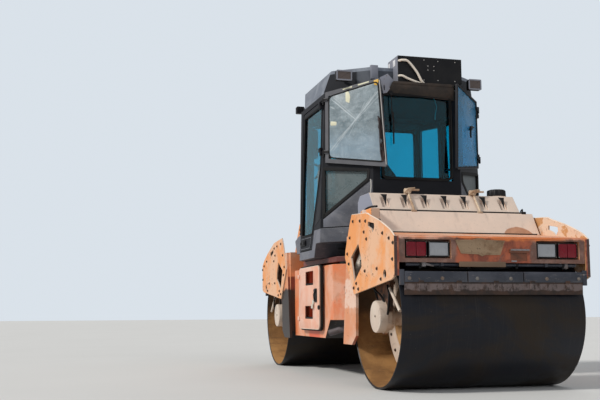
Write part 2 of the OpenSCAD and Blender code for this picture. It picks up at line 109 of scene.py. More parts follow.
def facing_out(points, faces):
    """The same shape with its faces turned outwards: the signed volume over all faces is made positive."""
    volume = 0.0
    for face in faces:
        a = points[face[0]]
        rim = points[list(face)]
        volume += np.einsum("ij,ij->", np.cross(rim[1:-1] - a, rim[2:] - a), np.broadcast_to(a, rim[2:].shape))
    if volume < 0:
        faces = [tuple(face)[::-1] for face in faces]
    return points, faces


def loft(rings, wrap_rings=False):
    """Closed rings of points joined in turn; the first and last are closed by a flat cap unless they wrap round."""
    count = rings.shape[1]
    faces = [tuple(f) for f in ring_faces(rings.shape[0], count, wrap_rings)]
    if not wrap_rings:
        faces.append(tuple(range(count)))
        faces.append(tuple(range((rings.shape[0] - 1) * count, rings.shape[0] * count)))
    return facing_out(rings.reshape(-1, 3), faces)


def turned(profile, centre=(0, 0, 0), axis="y", count=48, wrap_rings=False):
    """A profile of (along, radius) rows turned about an axis: the point at angle a is along the axis by the first
    value and off it by radius times (cos a, sin a)."""
    profile = np.asarray(profile, float)
    a = np.linspace(0, TURN, count, endpoint=False)
    along = np.broadcast_to(profile[:, :1], (len(profile), count))
    u = profile[:, 1:] * np.cos(a)
    v = profile[:, 1:] * np.sin(a)
    order = {"x": (along, u, v), "y": (v, along, u), "z": (u, v, along)}[axis]
    return loft(np.stack(order, axis=-1) + np.asarray(centre, float), wrap_rings)


def smooth_path(points, steps=8):
    """A Catmull-Rom curve through the points: each span is the cubic whose slopes are half the gap of its
    neighbours."""
    p = np.asarray(points, float)
    p = np.vstack([2 * p[0] - p[1], p, 2 * p[-1] - p[-2]])
    t = np.linspace(0, 1, steps, endpoint=False)[:, None]
    spans = []
    for a, b, c, d in zip(p[:-3], p[1:-2], p[2:-1], p[3:]):
        spans.append(0.5 * (2 * b + (c - a) * t + (2 * a - 5 * b + 4 * c - d) * t ** 2 + (3 * b - a - 3 * c + d) * t
                            ** 3))
    return np.vstack(spans + [p[-2:-1]])


def tube(points, radius, count=12, steps=8, ribs=0.0, pitch=0.012):
    """A round tube along a smooth path: each ring is the path point plus radius times the turning pair of side
    vectors, and ribs add radius as the cosine of the length over the pitch."""
    path = smooth_path(points, steps) if steps > 1 else np.asarray(points, float)
    if ribs:
        length = np.concatenate([[0], np.cumsum(np.linalg.norm(np.diff(path, axis=0), axis=1))])
        fine = np.arange(0, length[-1], pitch / 4)
        path = np.stack([np.interp(fine, length, path[:, i]) for i in range(3)], axis=1)
    ahead = np.gradient(path, axis=0)
    ahead /= np.linalg.norm(ahead, axis=1, keepdims=True)
    side = np.cross(ahead[0], [0.31, 0.17, 0.93])
    frames = []
    for t in ahead:
        side = side - t * side.dot(t)
        side /= np.linalg.norm(side)
        frames.append((side, np.cross(t, side)))
    frames = np.array(frames)
    a = np.linspace(0, TURN, count, endpoint=False)
    r = np.full(len(path), radius)
    if ribs:
        r = r + ribs * np.cos(np.arange(len(path)) * TURN / 4)
    ring = frames[:, 0, None] * np.cos(a)[None, :, None] + frames[:, 1, None] * np.sin(a)[None, :, None]
    return loft(path[:, None] + ring * r[:, None, None])


def points_of(mesh):
    """The vertices of a mesh, one row each."""
    points = np.zeros(len(mesh.vertices) * 3)
    mesh.vertices.foreach_get("co", points)
    return points.reshape(-1, 3)


def laid(axis, across, u, v):
    """Points whose place along one axis is across, and whose two others are u and v in the order of the axes."""
    return np.stack({"x": (across, u, v), "y": (u, across, v), "z": (u, v, across)}[axis], axis=-1)


def pierced(outlines, low, high, axis="y", rim=0.002):
    """A flat plate with holes: the first outline less the others, filled, given its thickness and a rounded rim."""
    curve = bpy.data.curves.new("outlines", "CURVE")
    curve.dimensions = "2D"
    curve.fill_mode = "BOTH"
    curve.extrude = (high - low) / 2 - rim
    curve.bevel_depth = rim
    curve.bevel_resolution = 1
    for number, outline in enumerate(outlines):
        edge = inset(outline, -rim if number else rim)
        spline = curve.splines.new("POLY")
        spline.points.add(len(edge) - 1)
        spline.points.foreach_set("co", np.column_stack([edge, np.zeros(len(edge)), np.ones(len(edge))]).ravel())
        spline.use_cyclic_u = True
    holder = bpy.data.objects.new("outlines", curve)
    mesh = bpy.data.meshes.new_from_object(holder)
    work = bmesh.new()
    work.from_mesh(mesh)
    bmesh.ops.remove_doubles(work, verts=work.verts, dist=MERGE)
    bmesh.ops.recalc_face_normals(work, faces=work.faces)
    work.to_mesh(mesh)
    work.free()
    points = points_of(mesh)
    faces = [tuple(face.vertices) for face in mesh.polygons]
    for thing, store in ((holder, bpy.data.objects), (curve, bpy.data.curves), (mesh, bpy.data.meshes)):
        store.remove(thing)
    return facing_out(laid(axis, points[:, 2] + (low + high) / 2, points[:, 0], points[:, 1]), faces)


def inset(outline, depth):
    """An outline moved inwards: each corner goes along the sum of its two edge normals over one plus their dot."""
    p = np.asarray(outline, float)
    area = np.sum(p[:, 0] * np.roll(p[:, 1], -1) - p[:, 1] * np.roll(p[:, 0], -1))
    edge = np.roll(p, -1, axis=0) - p
    edge /= np.linalg.norm(edge, axis=1, keepdims=True)
    normal = np.stack([-edge[:, 1], edge[:, 0]], axis=1) * np.sign(area)
    before = np.roll(normal, 1, axis=0)
    corner = (normal + before) / (1 + np.sum(normal * before, axis=1, keepdims=True))
    return p + corner * depth


def stacked(axis, levels, wrap_rings=False):
    """Outlines, each at its level along an axis, joined in turn."""
    return loft(np.array([laid(axis, np.full(len(shape), level), *shape.T) for level, shape in levels]), wrap_rings)


def plate(outline, low, high, axis="y", rim=0.004):
    """A flat plate: its outline in the two other axes is drawn in by the rim at both faces, so its edges are
    rounded."""
    full = np.asarray(outline, float)
    small = inset(full, rim)
    mid = inset(full, rim * 0.3)
    return stacked(axis, [(low, small), (low + rim * 0.3, mid), (low + rim, full), (high - rim, full),
                          (high - rim * 0.3, mid), (high, small)])


def surround(outline, width, low, high, axis="y", rim=0.002):
    """A frame of one width inside an outline: the section goes up the outer edge, over the front and down the inner
    edge."""
    section = ((low, 0.0), (high - rim, 0.0), (high, rim), (high, width - rim), (high - rim, width), (low, width))
    return stacked(axis, [(level, inset(outline, depth)) for level, depth in section], wrap_rings=True)


def rounded(outline, radius, steps=5):
    """An outline whose corners are quadratic curves that start and end a radius away from the corner."""
    p = np.asarray(outline, float)
    before = np.roll(p, 1, axis=0) - p
    after = np.roll(p, -1, axis=0) - p
    before *= radius / np.linalg.norm(before, axis=1, keepdims=True)
    after *= radius / np.linalg.norm(after, axis=1, keepdims=True)
    t = np.linspace(0, 1, steps)[None, :, None]
    arcs = (1 - t) ** 2 * (p + before)[:, None] + 2 * t * (1 - t) * p[:, None] + t ** 2 * (p + after)[:, None]
    return arcs.reshape(-1, 2)


def rounded_box_outline(low, high, radius, steps=5):
    """A rectangle with quarter circles at its corners."""
    low, high = np.asarray(low, float), np.asarray(high, float)
    a = np.linspace(0, TURN / 4, steps)
    centres = [(high[0] - radius, high[1] - radius, 0), (low[0] + radius, high[1] - radius, 1),
               (low[0] + radius, low[1] + radius, 2), (high[0] - radius, low[1] + radius, 3)]
    return np.vstack([np.stack([x + radius * np.cos(a + q * TURN / 4), y + radius * np.sin(a + q * TURN / 4)], 1)
                      for x, y, q in centres])


def bar(low, high, rim=0.004, axis="y", corner=0.006):
    """A block between two corners with rounded edges."""
    low, high = np.minimum(low, high), np.maximum(low, high)
    keep = [i for i in range(3) if "xyz"[i] != axis]
    along = "xyz".index(axis)
    outline = rounded_box_outline(low[keep], high[keep], corner, 4)
    return plate(outline, low[along], high[along], axis, rim)


def shifted(shape, by=(0, 0, 0), matrix=None, flip=(1, 1, 1)):
    """A shape turned by a matrix, mirrored by flip and moved."""
    points, faces = shape
    if matrix is not None:
        points = points @ np.array(matrix.to_3x3()).T
    points = points * np.asarray(flip, float) + np.asarray(by, float)
    if np.prod(flip) < 0:
        faces = [tuple(face)[::-1] for face in faces]
    return points, faces


def repeated(shape, places):
    """One shape at many places: its points plus each place, as one array."""
    points, faces = shape
    places = np.asarray(places, float)
    count = len(points)
    every = (points[None] + places[:, None]).reshape(-1, 3)
    return every, [tuple(i + count * k for i in face) for k in range(len(places)) for face in faces]


def joined(shapes):
    """Several shapes as one."""
    points, faces, start = [], [], 0
    for p, f in shapes:
        points.append(p)
        faces += [tuple(i + start for i in face) for face in f]
        start += len(p)
    return np.vstack(points), faces


def stud(radius, height, side, axis="y", count=10):
    """A domed bolt head that stands out along an axis."""
    profile = [(0, radius), (height * 0.6, radius), (height, radius * 0.7), (height * 1.05, radius * 0.25)]
    return turned([(a * side, r) for a, r in profile], (0, 0, 0), axis, count)


def bolt(radius, height, side, axis="y"):
    """A hexagon head on a washer."""
    washer = turned([(0, radius * 1.55), (height * 0.22 * side, radius * 1.55), (height * 0.25 * side, radius * 1.45)],
                    (0, 0, 0), axis, 18)
    head = [(0.0, 0.98), (0.9, 0.98), (1.0, 0.85)]
    return joined([washer, turned([(h * height * side, r * radius) for h, r in head], (0, 0, 0), axis, 6)])


def linked(name, data):
    """A new object that holds the data, in the scene."""
    made = bpy.data.objects.new(name, data)
    bpy.context.scene.collection.objects.link(made)
    return made


def dressed(mesh, finish, angle):
    """Gives a mesh its finish, smooth but for edges sharper than an angle in degrees."""
    mesh.shade_smooth()
    mesh.set_sharp_from_angle(angle=math.radians(angle))
    mesh.materials.append(finish)


def piece(name, shape, body, finish, angle=35):
    """Puts a shape into a Blender mesh at the origin, with its finish, on a body."""
    if isinstance(shape, list):
        shape = joined(shape)
    mesh = bpy.data.meshes.new(name)
    mesh.from_pydata(shape[0].tolist(), [], shape[1])
    mesh.validate()
    dressed(mesh, finish, angle)
    made = linked(name, mesh)
    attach(made, body)
    return made


def both_sides(shape):
    """A shape and its mirror image on the other side."""
    return joined([shape, shifted(shape, flip=(1, -1, 1))])


def softened(node, finish):
    """A copy of a CAD node, merged, with a rounded rim on every sharp edge, stands for the node."""
    source = NODES[node]
    work = bmesh.new()
    work.from_mesh(source.data)
    bmesh.ops.remove_doubles(work, verts=work.verts, dist=MERGE)
    bmesh.ops.dissolve_limit(work, angle_limit=math.radians(0.6), verts=work.verts, edges=work.edges)
    mesh = bpy.data.meshes.new(node + "_panel")
    work.to_mesh(mesh)
    work.free()
    mesh.materials.clear()
    dressed(mesh, finish, 30)
    made = linked(node + "_panel", mesh)
    rim = made.modifiers.new("rim", "BEVEL")
    rim.width = 0.004
    rim.segments = 2
    rim.limit_method = "ANGLE"
    rim.angle_limit = math.radians(32)
    rim.use_clamp_overlap = True
    rim.harden_normals = True
    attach(made, source["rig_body"])
    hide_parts(node)


# Finishes: procedural materials on object coordinates.


class Finish:
    """A material whose node tree is put together by short calls. A value is a number, a colour or a socket."""

    def __init__(self, name):
        self.material = bpy.data.materials.new(name)
        self.material.use_nodes = True
        self.tree = self.material.node_tree
        self.tree.nodes.clear()
        self.shader = self.node("BsdfPrincipled")
        self.node("OutputMaterial", Surface=self.shader.outputs[0])
        self.place = self.node("TexCoord").outputs["Object"]
        self.normal = self.node("NewGeometry").outputs["Normal"]

    def put(self, socket, value):
        """Links or sets a socket."""
        if isinstance(value, bpy.types.NodeSocket):
            self.tree.links.new(value, socket)
        elif hasattr(socket, "default_value"):
            if isinstance(value, tuple) and len(value) == 3 and len(socket.default_value) == 4:
                value = (*value, 1.0)
            socket.default_value = value

    def node(self, kind, **inputs):
        """A new node with its inputs linked or set; a low line in an input's name stands for a space."""
        made = self.tree.nodes.new("ShaderNode" + kind)
        for socket, value in inputs.items():
            self.put(made.inputs[socket.replace("_", " ")], value)
        return made

    def scaled(self, scale, shift=(0, 0, 0)):
        """Object coordinates stretched by a scale."""
        return self.node("Mapping", Vector=self.place, Scale=scale, Location=shift).outputs[0]

    def noise(self, scale, detail=4.0, rough=0.55, stretch=(1, 1, 1), warp=0.0, shift=(0, 0, 0)):
        """Cloud noise of about one blotch in 1/scale metres."""
        return self.node("TexNoise", Vector=self.scaled(stretch, shift), Scale=scale, Detail=detail, Roughness=rough,
                         Distortion=warp).outputs["Fac"]

    def cells(self, scale):
        """Distance to the nearest of scattered points."""
        return self.node("TexVoronoi", Vector=self.scaled((1, 1, 1)), Scale=scale).outputs["Distance"]

    def steps(self, value, low, high):
        """0 below low, 1 above high, smooth between."""
        node = self.node("MapRange", Value=value, From_Min=low, From_Max=high)
        node.interpolation_type = "SMOOTHSTEP"
        return node.outputs["Result"]

    def cloud(self, low, high, *scale, **more):
        """Patches: cloud noise that is 0 below low and 1 above high."""
        return self.steps(self.noise(*scale, **more), low, high)

    def calc(self, what, a, b=0.0, c=0.0):
        """A Math node."""
        node = self.node("Math")
        node.operation = what
        for socket, value in zip(node.inputs, (a, b, c)):
            self.put(socket, value)
        return node.outputs[0]

    def plus(self, a, b):
        """Sum of two values."""
        return self.calc("ADD", a, b)

    def minus(self, a, b):
        """Difference of two values."""
        return self.calc("SUBTRACT", a, b)

    def times(self, a, b):
        """Product of two values."""
        return self.calc("MULTIPLY", a, b)

    def most(self, a, b):
        """The greater of two values."""
        return self.calc("MAXIMUM", a, b)

    def blend(self, amount, a, b, part=None):
        """Colour a, turning to b, or a part of the way to it, where the amount is 1."""
        if part is not None:
            amount = self.times(amount, part)
        node = self.node("Mix")
        node.data_type = "RGBA"
        self.put(node.inputs["Factor"], amount)
        self.put(node.inputs[6], a)
        self.put(node.inputs[7], b)
        return node.outputs[2]

    def along(self, axis, of_normal=False):
        """One coordinate of the place, or of the surface normal."""
        vector = self.normal if of_normal else self.place
        return self.node("SeparateXYZ", Vector=vector).outputs["XYZ".index(axis)]

    def off(self, axis, of_normal=False):
        """The same coordinate without its sign."""
        return self.calc("ABSOLUTE", self.along(axis, of_normal))

    def edges(self, radius=0.008):
        """1 on worn edges: where the rounded normal leans away from the true one."""
        round_node = self.node("Bevel", Radius=radius)
        round_node.samples = 4
        dot = self.node("VectorMath")
        dot.operation = "DOT_PRODUCT"
        self.put(dot.inputs[0], round_node.outputs[0])
        self.put(dot.inputs[1], self.normal)
        return self.steps(self.minus(1.0, dot.outputs["Value"]), 0.03, 0.16)

    def bump(self, height, depth, strength=0.5):
        """Surface relief of a height field, depth in metres."""
        node = self.node("Bump", Height=height, Distance=depth, Strength=strength)
        self.put(self.shader.inputs["Normal"], node.outputs[0])

    def done(self, colour, rough, metal=0.0, **more):
        """Sets the shader and returns the material."""
        for socket, value in {"Base_Color": colour, "Roughness": rough, "Metallic": metal, **more}.items():
            self.put(self.shader.inputs[socket.replace("_", " ")], value)
        return self.material


def worn_paint(name, fresh, faded, rust=(0.16, 0.055, 0.025), chips=0.5, dirt=0.35, edge=0.85, plates=False,
               box=False):
    """Sun-bleached paint: blotches between fresh and faded, rust at edges and in spots, scratches, stains. On the
    side plates the inner faces are cream with a tan patch, the end faces carry painted shade in dark red and near
    black, and the edge faces carry a painted highlight where they face up and painted shade where they face down;
    on the box the pockets are bright red and the underside carries painted shade in black."""
    f = Finish(name)
    bleach = f.cloud(0.4, 0.62, 3.1, 6, 0.62, warp=0.7)
    colour = f.blend(bleach, fresh, faded)
    if plates:
        inward = f.steps(f.times(f.along("Y", of_normal=True), f.calc("SIGN", f.along("Y"))), -0.5, -0.8)
        tan = f.cloud(0.5, 0.53, 4.2, 4, 0.55, shift=(1, 0, 2))
        cream = f.blend(tan, (0.74, 0.56, 0.42), (0.56, 0.29, 0.12))
        colour = f.blend(inward, colour, cream)
        # Painted shade: the end faces of the plates are turned dark red, and near black at their outer edge.
        at_end = f.steps(f.off("X", of_normal=True), 0.8, 0.95)
        at_end = f.times(at_end, f.steps(f.off("X"), END_X - 0.03, END_X - 0.02))
        outer = f.steps(f.off("Y"), PLATE_Y - 0.026, PLATE_Y - 0.022)
        red = f.blend(f.cloud(0.45, 0.6, 9, 4, 0.6), (0.26, 0.05, 0.026), (0.4, 0.13, 0.07))
        colour = f.blend(at_end, colour, f.blend(outer, red, (0.06, 0.03, 0.026)))
        # Painted highlight and painted shade: edge faces are pale cream where they face up and brown where they face
        # down.
        rim = f.steps(f.off("Y", of_normal=True), 0.75, 0.45)
        rim = f.times(f.times(rim, f.minus(1.0, at_end)), 0.9)
        upward = f.steps(f.along("Z", of_normal=True), -0.1, 0.2)
        colour = f.blend(rim, colour, f.blend(upward, (0.5, 0.36, 0.26), (0.82, 0.68, 0.57)))
    if box:
        warm = f.cloud(0.42, 0.58, 2.2, 5, 0.6, warp=0.8, shift=(2, 0, 5))
        colour = f.blend(warm, colour, (0.8, 0.2, 0.065), 0.75)
        pocket = f.times(f.steps(f.off("Y"), COVER_Y - 0.044, COVER_Y - 0.05),
                         f.steps(f.off("Y"), COVER_Y - 0.3, COVER_Y - 0.29))
        pocket = f.times(pocket, f.times(f.steps(f.along("X"), 0.04, 0.045), f.steps(f.along("X"), 0.425, 0.42)))
        colour = f.blend(pocket, colour, (0.72, 0.115, 0.045))
        # Painted shade: the underside of the box is turned near black.
        colour = f.blend(f.steps(f.along("Z", of_normal=True), -0.25, -0.45), colour, (0.012, 0.01, 0.01))
    stain = f.cloud(0.57, 0.68, 5.5, 6, 0.7, warp=1.1, shift=(3, 1, 2))
    colour = f.blend(stain, colour, tuple(0.62 * c for c in fresh), dirt)
    runs = f.cloud(0.62, 0.76, 16, 4, 0.6, stretch=(1, 1, 0.3), warp=0.4)
    colour = f.blend(runs, colour, (0.2, 0.1, 0.055), dirt * 0.6)
    scratch = f.cloud(0.7, 0.73, 20, 2, 0.5, stretch=(0.4, 0.4, 7.0), warp=2.4)
    colour = f.blend(scratch, colour, (0.66, 0.54, 0.46), 0.45)
    spots = f.cloud(0.665 - 0.05 * chips, 0.7 - 0.03 * chips, 23, 6, 0.7, warp=0.4)
    near = f.cloud(0.44, 0.6, 3.4, 3, 0.5, shift=(7, 0, 4))
    spots = f.times(spots, near)
    rim = f.times(f.edges(0.006), f.cloud(0.42, 0.6, 17, 3, 0.6))
    worn = f.most(f.times(rim, edge), f.times(spots, 0.85))
    colour = f.blend(worn, colour, rust)
    rough = f.plus(0.44, f.times(worn, 0.3))
    relief = f.minus(f.times(f.noise(60, 3, 0.6), 0.2), worn)
    f.bump(relief, 0.001)
    return f.done(colour, rough)


def end_panel_paint():
    """Paint of the yokes: orange legs and decks; painted shade, dark brown to near black, on the inward faces of the
    front legs and over the front yoke below about 0.84 m; a pale worn patch on the rear ones; end panels brick red
    low down and orange along the upper edge."""
    f = Finish("end_panel_paint")
    wander = f.times(f.minus(f.noise(7, 5, 0.65, warp=0.6), 0.5), 0.1)
    top = f.steps(f.plus(f.along("Z"), wander), 1.118, 1.146)
    at_end = f.steps(f.off("X"), END_X - 0.1, END_X - 0.085)
    facing = f.steps(f.off("X", of_normal=True), 0.4, 0.8)
    under = f.steps(f.along("Z", of_normal=True), -0.3, -0.8)
    end = f.most(f.times(at_end, facing), under)
    rest = f.blend(f.cloud(0.4, 0.64, 2.6, 5, 0.6, warp=0.5), (0.7, 0.27, 0.12), (0.7, 0.43, 0.3))
    low = f.blend(f.cloud(0.4, 0.6, 5, 6, 0.7, warp=0.9), (0.2, 0.05, 0.026), (0.42, 0.105, 0.045))
    grime = f.cloud(0.54, 0.66, 9, 6, 0.75, stretch=(1, 0.4, 1.2), warp=0.8)
    lamps = f.calc("ABSOLUTE", f.minus(f.off("Y"), 0.535))
    around = f.steps(f.plus(lamps, wander), 0.245, 0.215)
    grime = f.most(f.times(grime, 0.7), f.times(around, 0.8))
    soot = f.blend(f.cloud(0.4, 0.65, 14, 5, 0.7), (0.105, 0.068, 0.055), (0.2, 0.135, 0.11))
    low = f.blend(grime, low, soot)
    bleached = f.cloud(0.42, 0.58, 1.5, 3, 0.5, shift=(4, 2, 0))
    panel = f.blend(top, low, f.blend(bleached, (0.76, 0.22, 0.06), (0.8, 0.5, 0.38)))
    scuff = f.cloud(0.62, 0.7, 12, 6, 0.75, stretch=(1, 0.3, 1.6), warp=1.2)
    panel = f.blend(scuff, panel, (0.3, 0.2, 0.16), 0.5)
    # Painted shade: faces of the front yoke that point inwards, below the deck, are turned dark brown, near black
    # below 0.8 m.
    inward = f.times(f.along("X", of_normal=True), f.calc("SIGN", f.along("X")))
    inward = f.times(f.steps(inward, -0.45, -0.65), f.steps(f.along("Z"), 0.985, 0.965))
    inward = f.times(inward, f.steps(f.along("X"), 0.9, 1.0))
    painted_shade = f.blend(f.steps(f.along("Z"), 0.8, 0.83), (0.05, 0.026, 0.021), (0.2, 0.045, 0.028))
    rest = f.blend(inward, rest, painted_shade)
    # Painted shade: the front yoke below about 0.84 m is painted near black.
    front = f.times(f.steps(f.along("X"), 0.5, 0.6), f.steps(f.plus(f.along("Z"), wander), 0.86, 0.82))
    rest = f.blend(front, rest, f.blend(f.noise(12, 5, 0.7), (0.012, 0.009, 0.008), (0.034, 0.021, 0.017)))
    bare = f.calc("ABSOLUTE", f.minus(f.plus(f.along("Z"), wander), 0.755))
    bare = f.times(f.steps(bare, 0.125, 0.105), f.steps(f.along("X"), 0.0, -0.1))
    rest = f.blend(f.times(bare, f.cloud(0.3, 0.5, 30, 5, 0.7)), rest, (0.8, 0.55, 0.43))
    colour = f.blend(end, rest, panel)
    spots = f.cloud(0.63, 0.67, 24, 6, 0.7, warp=0.4)
    rim = f.times(f.edges(0.007), f.cloud(0.4, 0.6, 14, 3, 0.6))
    worn = f.most(f.times(rim, 0.7), f.times(spots, 0.6))
    colour = f.blend(worn, colour, (0.1, 0.038, 0.022))
    f.bump(f.minus(f.times(f.noise(50, 4, 0.6), 0.3), worn), 0.0012)
    return f.done(colour, f.plus(0.42, f.times(worn, 0.3)))


def tank_plastic(name, stained):
    """Aged beige moulded plastic with grime. The tank carries painted shade on its sloping face, and painted shade
    with a painted sky reflection, in grey blue, on its ends; the stained cover below it has one brown patch on the
    right."""
    f = Finish(name)
    cloud = f.cloud(0.35, 0.7, 3.2, 5, 0.6, warp=0.4)
    colour = f.blend(cloud, (0.76, 0.6, 0.49), (0.68, 0.55, 0.46))
    if not stained:
        # Painted shade: faces that slope to the rear are darkened.
        slope = f.steps(f.along("X", of_normal=True), -0.35, -0.6)
        colour = f.blend(slope, colour, (0.5, 0.43, 0.37), 0.35)
        # Painted shade and painted sky reflection: the end faces of the tank are turned grey blue.
        ends = f.steps(f.off("Y", of_normal=True), 0.7, 0.85)
        ends = f.times(ends, f.steps(f.off("Y"), TANK_HIGH[1] - 0.004, TANK_HIGH[1] - 0.002))
        colour = f.blend(ends, colour, (0.27, 0.285, 0.355))
    runs = f.cloud(0.56, 0.78, 15, 4, 0.6, stretch=(0.3, 1, 0.25), warp=0.3)
    colour = f.blend(runs, colour, (0.34, 0.27, 0.23), 0.35)
    if stained:
        across = f.plus(f.along("Y"), 0.575)
        down = f.minus(f.along("Z"), 1.195)
        reach = f.plus(f.times(f.times(across, across), 40.0), f.times(f.times(down, down), 80.0))
        reach = f.plus(reach, f.times(f.minus(f.noise(6, 4, 0.55), 0.5), 0.7))
        stain = f.steps(reach, 1.02, 0.9)
        tone = f.blend(f.cloud(0.35, 0.65, 12, 4, 0.6), (0.36, 0.14, 0.055), (0.47, 0.21, 0.1))
        colour = f.blend(stain, colour, tone, 0.85)
    dust = f.cloud(0.55, 0.8, 45, 4, 0.7)
    colour = f.blend(dust, colour, (0.28, 0.23, 0.2), 0.3)
    rim = f.times(f.edges(0.006), 0.35)
    colour = f.blend(rim, colour, (0.32, 0.25, 0.21))
    f.bump(f.noise(90, 3, 0.6), 0.0006, 0.4)
    return f.done(colour, 0.48)


def drum_steel():
    """Rolled drum shell: dark steel wet with oil, with fine rings round it, asphalt specks and a brown film."""
    f = Finish("drum_steel")
    rings = f.noise(70, 5, 0.75, stretch=(0.03, 1.6, 0.03), warp=0.15)
    film = f.cloud(0.4, 0.66, 2.6, 6, 0.65, stretch=(1, 0.5, 1), warp=0.7)
    colour = f.blend(film, (0.01, 0.011, 0.016), (0.026, 0.018, 0.012))
    colour = f.blend(f.steps(rings, 0.52, 0.78), colour, (0.05, 0.043, 0.038), 0.5)
    specks = f.steps(f.cells(60), 0.085, 0.045)
    pick = f.cloud(0.58, 0.64, 11, 3, 0.6)
    colour = f.blend(f.times(specks, pick), colour, (0.26, 0.22, 0.19), 0.8)
    f.bump(f.plus(rings, f.times(f.noise(120, 3, 0.6), 0.5)), 0.0004)
    rough = f.plus(0.36, f.times(film, 0.22))
    return f.done(colour, rough, 0.25, Specular_IOR_Level=0.3)


def drum_inside():
    """Inner face of the drum: ochre dust and rust over dark steel, with painted shade that turns its upper part near
    black.
    """
    f = Finish("drum_inside")
    dust = f.cloud(0.36, 0.62, 3.5, 6, 0.65, warp=0.2)
    colour = f.blend(dust, (0.26, 0.13, 0.044), (0.44, 0.235, 0.082))
    streak = f.cloud(0.5, 0.68, 16, 5, 0.7, stretch=(1, 0.18, 1), shift=(2, 5, 1))
    colour = f.blend(streak, colour, (0.1, 0.055, 0.026), 0.45)
    # Painted shade: the inner face is turned near black above about 0.6 m.
    painted_shade = f.steps(f.plus(f.along("Z"), f.times(f.noise(4, 5, 0.65, shift=(0, 3, 1)), 0.2)), 0.58, 0.8)
    colour = f.blend(painted_shade, colour, (0.03, 0.018, 0.011), 0.85)
    pale = f.cloud(0.68, 0.72, 60, 5, 0.75)
    colour = f.blend(pale, colour, (0.62, 0.5, 0.38), 0.7)
    f.bump(f.noise(48, 6, 0.75), 0.002)
    return f.done(colour, 0.74)


def dusty(name, base, dust=(0.34, 0.3, 0.26), amount=0.35, rough=0.5, gloss=0.5):
    """A plain finish with dust on its upward faces, cloudy wear and fine grain."""
    f = Finish(name)
    up = f.steps(f.along("Z", of_normal=True), 0.05, 0.85)
    cloud = f.cloud(0.38, 0.72, 6, 5, 0.6, warp=0.4)
    cover = f.times(f.plus(f.times(up, 0.8), 0.2), cloud)
    colour = f.blend(cover, base, dust, amount)
    colour = f.blend(f.edges(0.004), colour, dust, 0.6 * amount)
    f.bump(f.noise(180, 3, 0.6), 0.0005, 0.4)
    return f.done(colour, f.plus(rough, f.times(cover, 0.15)), Specular_IOR_Level=gloss)


def rusty_steel(name, steel, rust, pale=0.0):
    """Bare steel gone brown, with pits, and a pale crust along the blade where pale is set."""
    f = Finish(name)
    colour = f.blend(f.cloud(0.38, 0.64, 6, 6, 0.7, warp=0.6), steel, rust)
    if pale:
        low_edge = f.plus(f.along("Z"), f.times(f.noise(13, 4, 0.6), 0.06))
        band = f.times(f.steps(low_edge, DRUM_R + 0.218, DRUM_R + 0.228),
                       f.steps(f.along("Z"), DRUM_R + 0.245, DRUM_R + 0.238))
        crust = f.times(band, f.cloud(0.36, 0.54, 26, 6, 0.75, stretch=(1, 1, 0.6)))
        colour = f.blend(crust, colour, (0.21, 0.165, 0.16), pale)
    pits = f.cloud(0.56, 0.7, 55, 4, 0.7)
    colour = f.blend(pits, colour, (0.035, 0.022, 0.017), 0.55)
    f.bump(f.noise(70, 5, 0.7), 0.0012)
    return f.done(colour, 0.66, 0.25)


def window_glass(name, tint, rough=0.0, grime=0.04, dirty_low=False, painted_sky_veil=None):
    """Tinted safety glass with a little road grime; a painted sky veil is a painted reflection of blue sky, in clouds
    over the pane; the low rear panes are grey with dirt, most of all on the right."""
    f = Finish(name)
    cover = f.times(f.cloud(0.62, 0.8, 7, 6, 0.7, warp=0.4), grime)
    soil = (0.4, 0.4, 0.38)
    # Painted reflection: blue sky laid over the pane in clouds.
    if painted_sky_veil:
        cloud = f.cloud(0.35, 0.7, 3.5, 5, 0.6, warp=0.5)
        cover, soil = f.calc("MULTIPLY_ADD", cloud, 0.25, 0.35), painted_sky_veil
    if dirty_low:
        low = f.times(f.steps(f.along("Z"), 1.95, 1.94), f.steps(f.along("X"), -0.15, -0.16))
        low = f.times(low, f.steps(f.off("Y"), 0.38, 0.4))
        right = f.steps(f.along("Y"), 0.0, -0.05)
        patch = f.plus(0.45, f.times(f.cloud(0.35, 0.62, 4, 6, 0.7, warp=0.9), 0.25))
        patch = f.most(patch, f.times(right, 0.93))
        clear = f.steps(f.plus(f.along("Z"), f.times(f.along("Y"), -0.5)), 1.27, 1.22)
        patch = f.times(patch, f.minus(1.0, f.times(clear, 0.6)))
        cover = f.most(cover, f.times(low, patch))
        dirt = f.blend(f.noise(11, 6, 0.7), (0.085, 0.092, 0.094), (0.2, 0.215, 0.22))
        streak = f.cloud(0.62, 0.72, 26, 5, 0.7, stretch=(1, 1, 0.12), warp=0.3)
        dirt = f.blend(streak, dirt, (0.36, 0.37, 0.36), 0.6)
        soil = f.blend(low, soil, dirt)
        tint = f.blend(low, tint, (0.26, 0.36, 0.38))
    f.put(f.shader.inputs["Transmission Weight"], f.minus(1.0, cover))
    colour = f.blend(cover, tint, soil)
    return f.done(colour, f.plus(rough, f.times(cover, 0.5)), IOR=1.45, Specular_IOR_Level=0.1)


# Long scratches in the film, each from a place (along the pane, up) to another, with a half width and a strength.
SCRATCHES = ((0.1, 2.085, 0.64, 2.62, 0.003, 0.9), (0.13, 2.08, 0.6, 2.6, 0.0022, 0.8),
             (0.16, 2.17, 0.66, 2.585, 0.0024, 0.7), (0.22, 2.19, 0.55, 2.56, 0.002, 0.7),
             (0.3, 2.2, 0.48, 2.52, 0.0018, 0.6), (0.12, 2.585, 0.4, 2.34, 0.003, 0.9),
             (0.14, 2.6, 0.37, 2.39, 0.0018, 0.6), (0.1, 2.52, 0.17, 2.48, 0.004, 0.8))


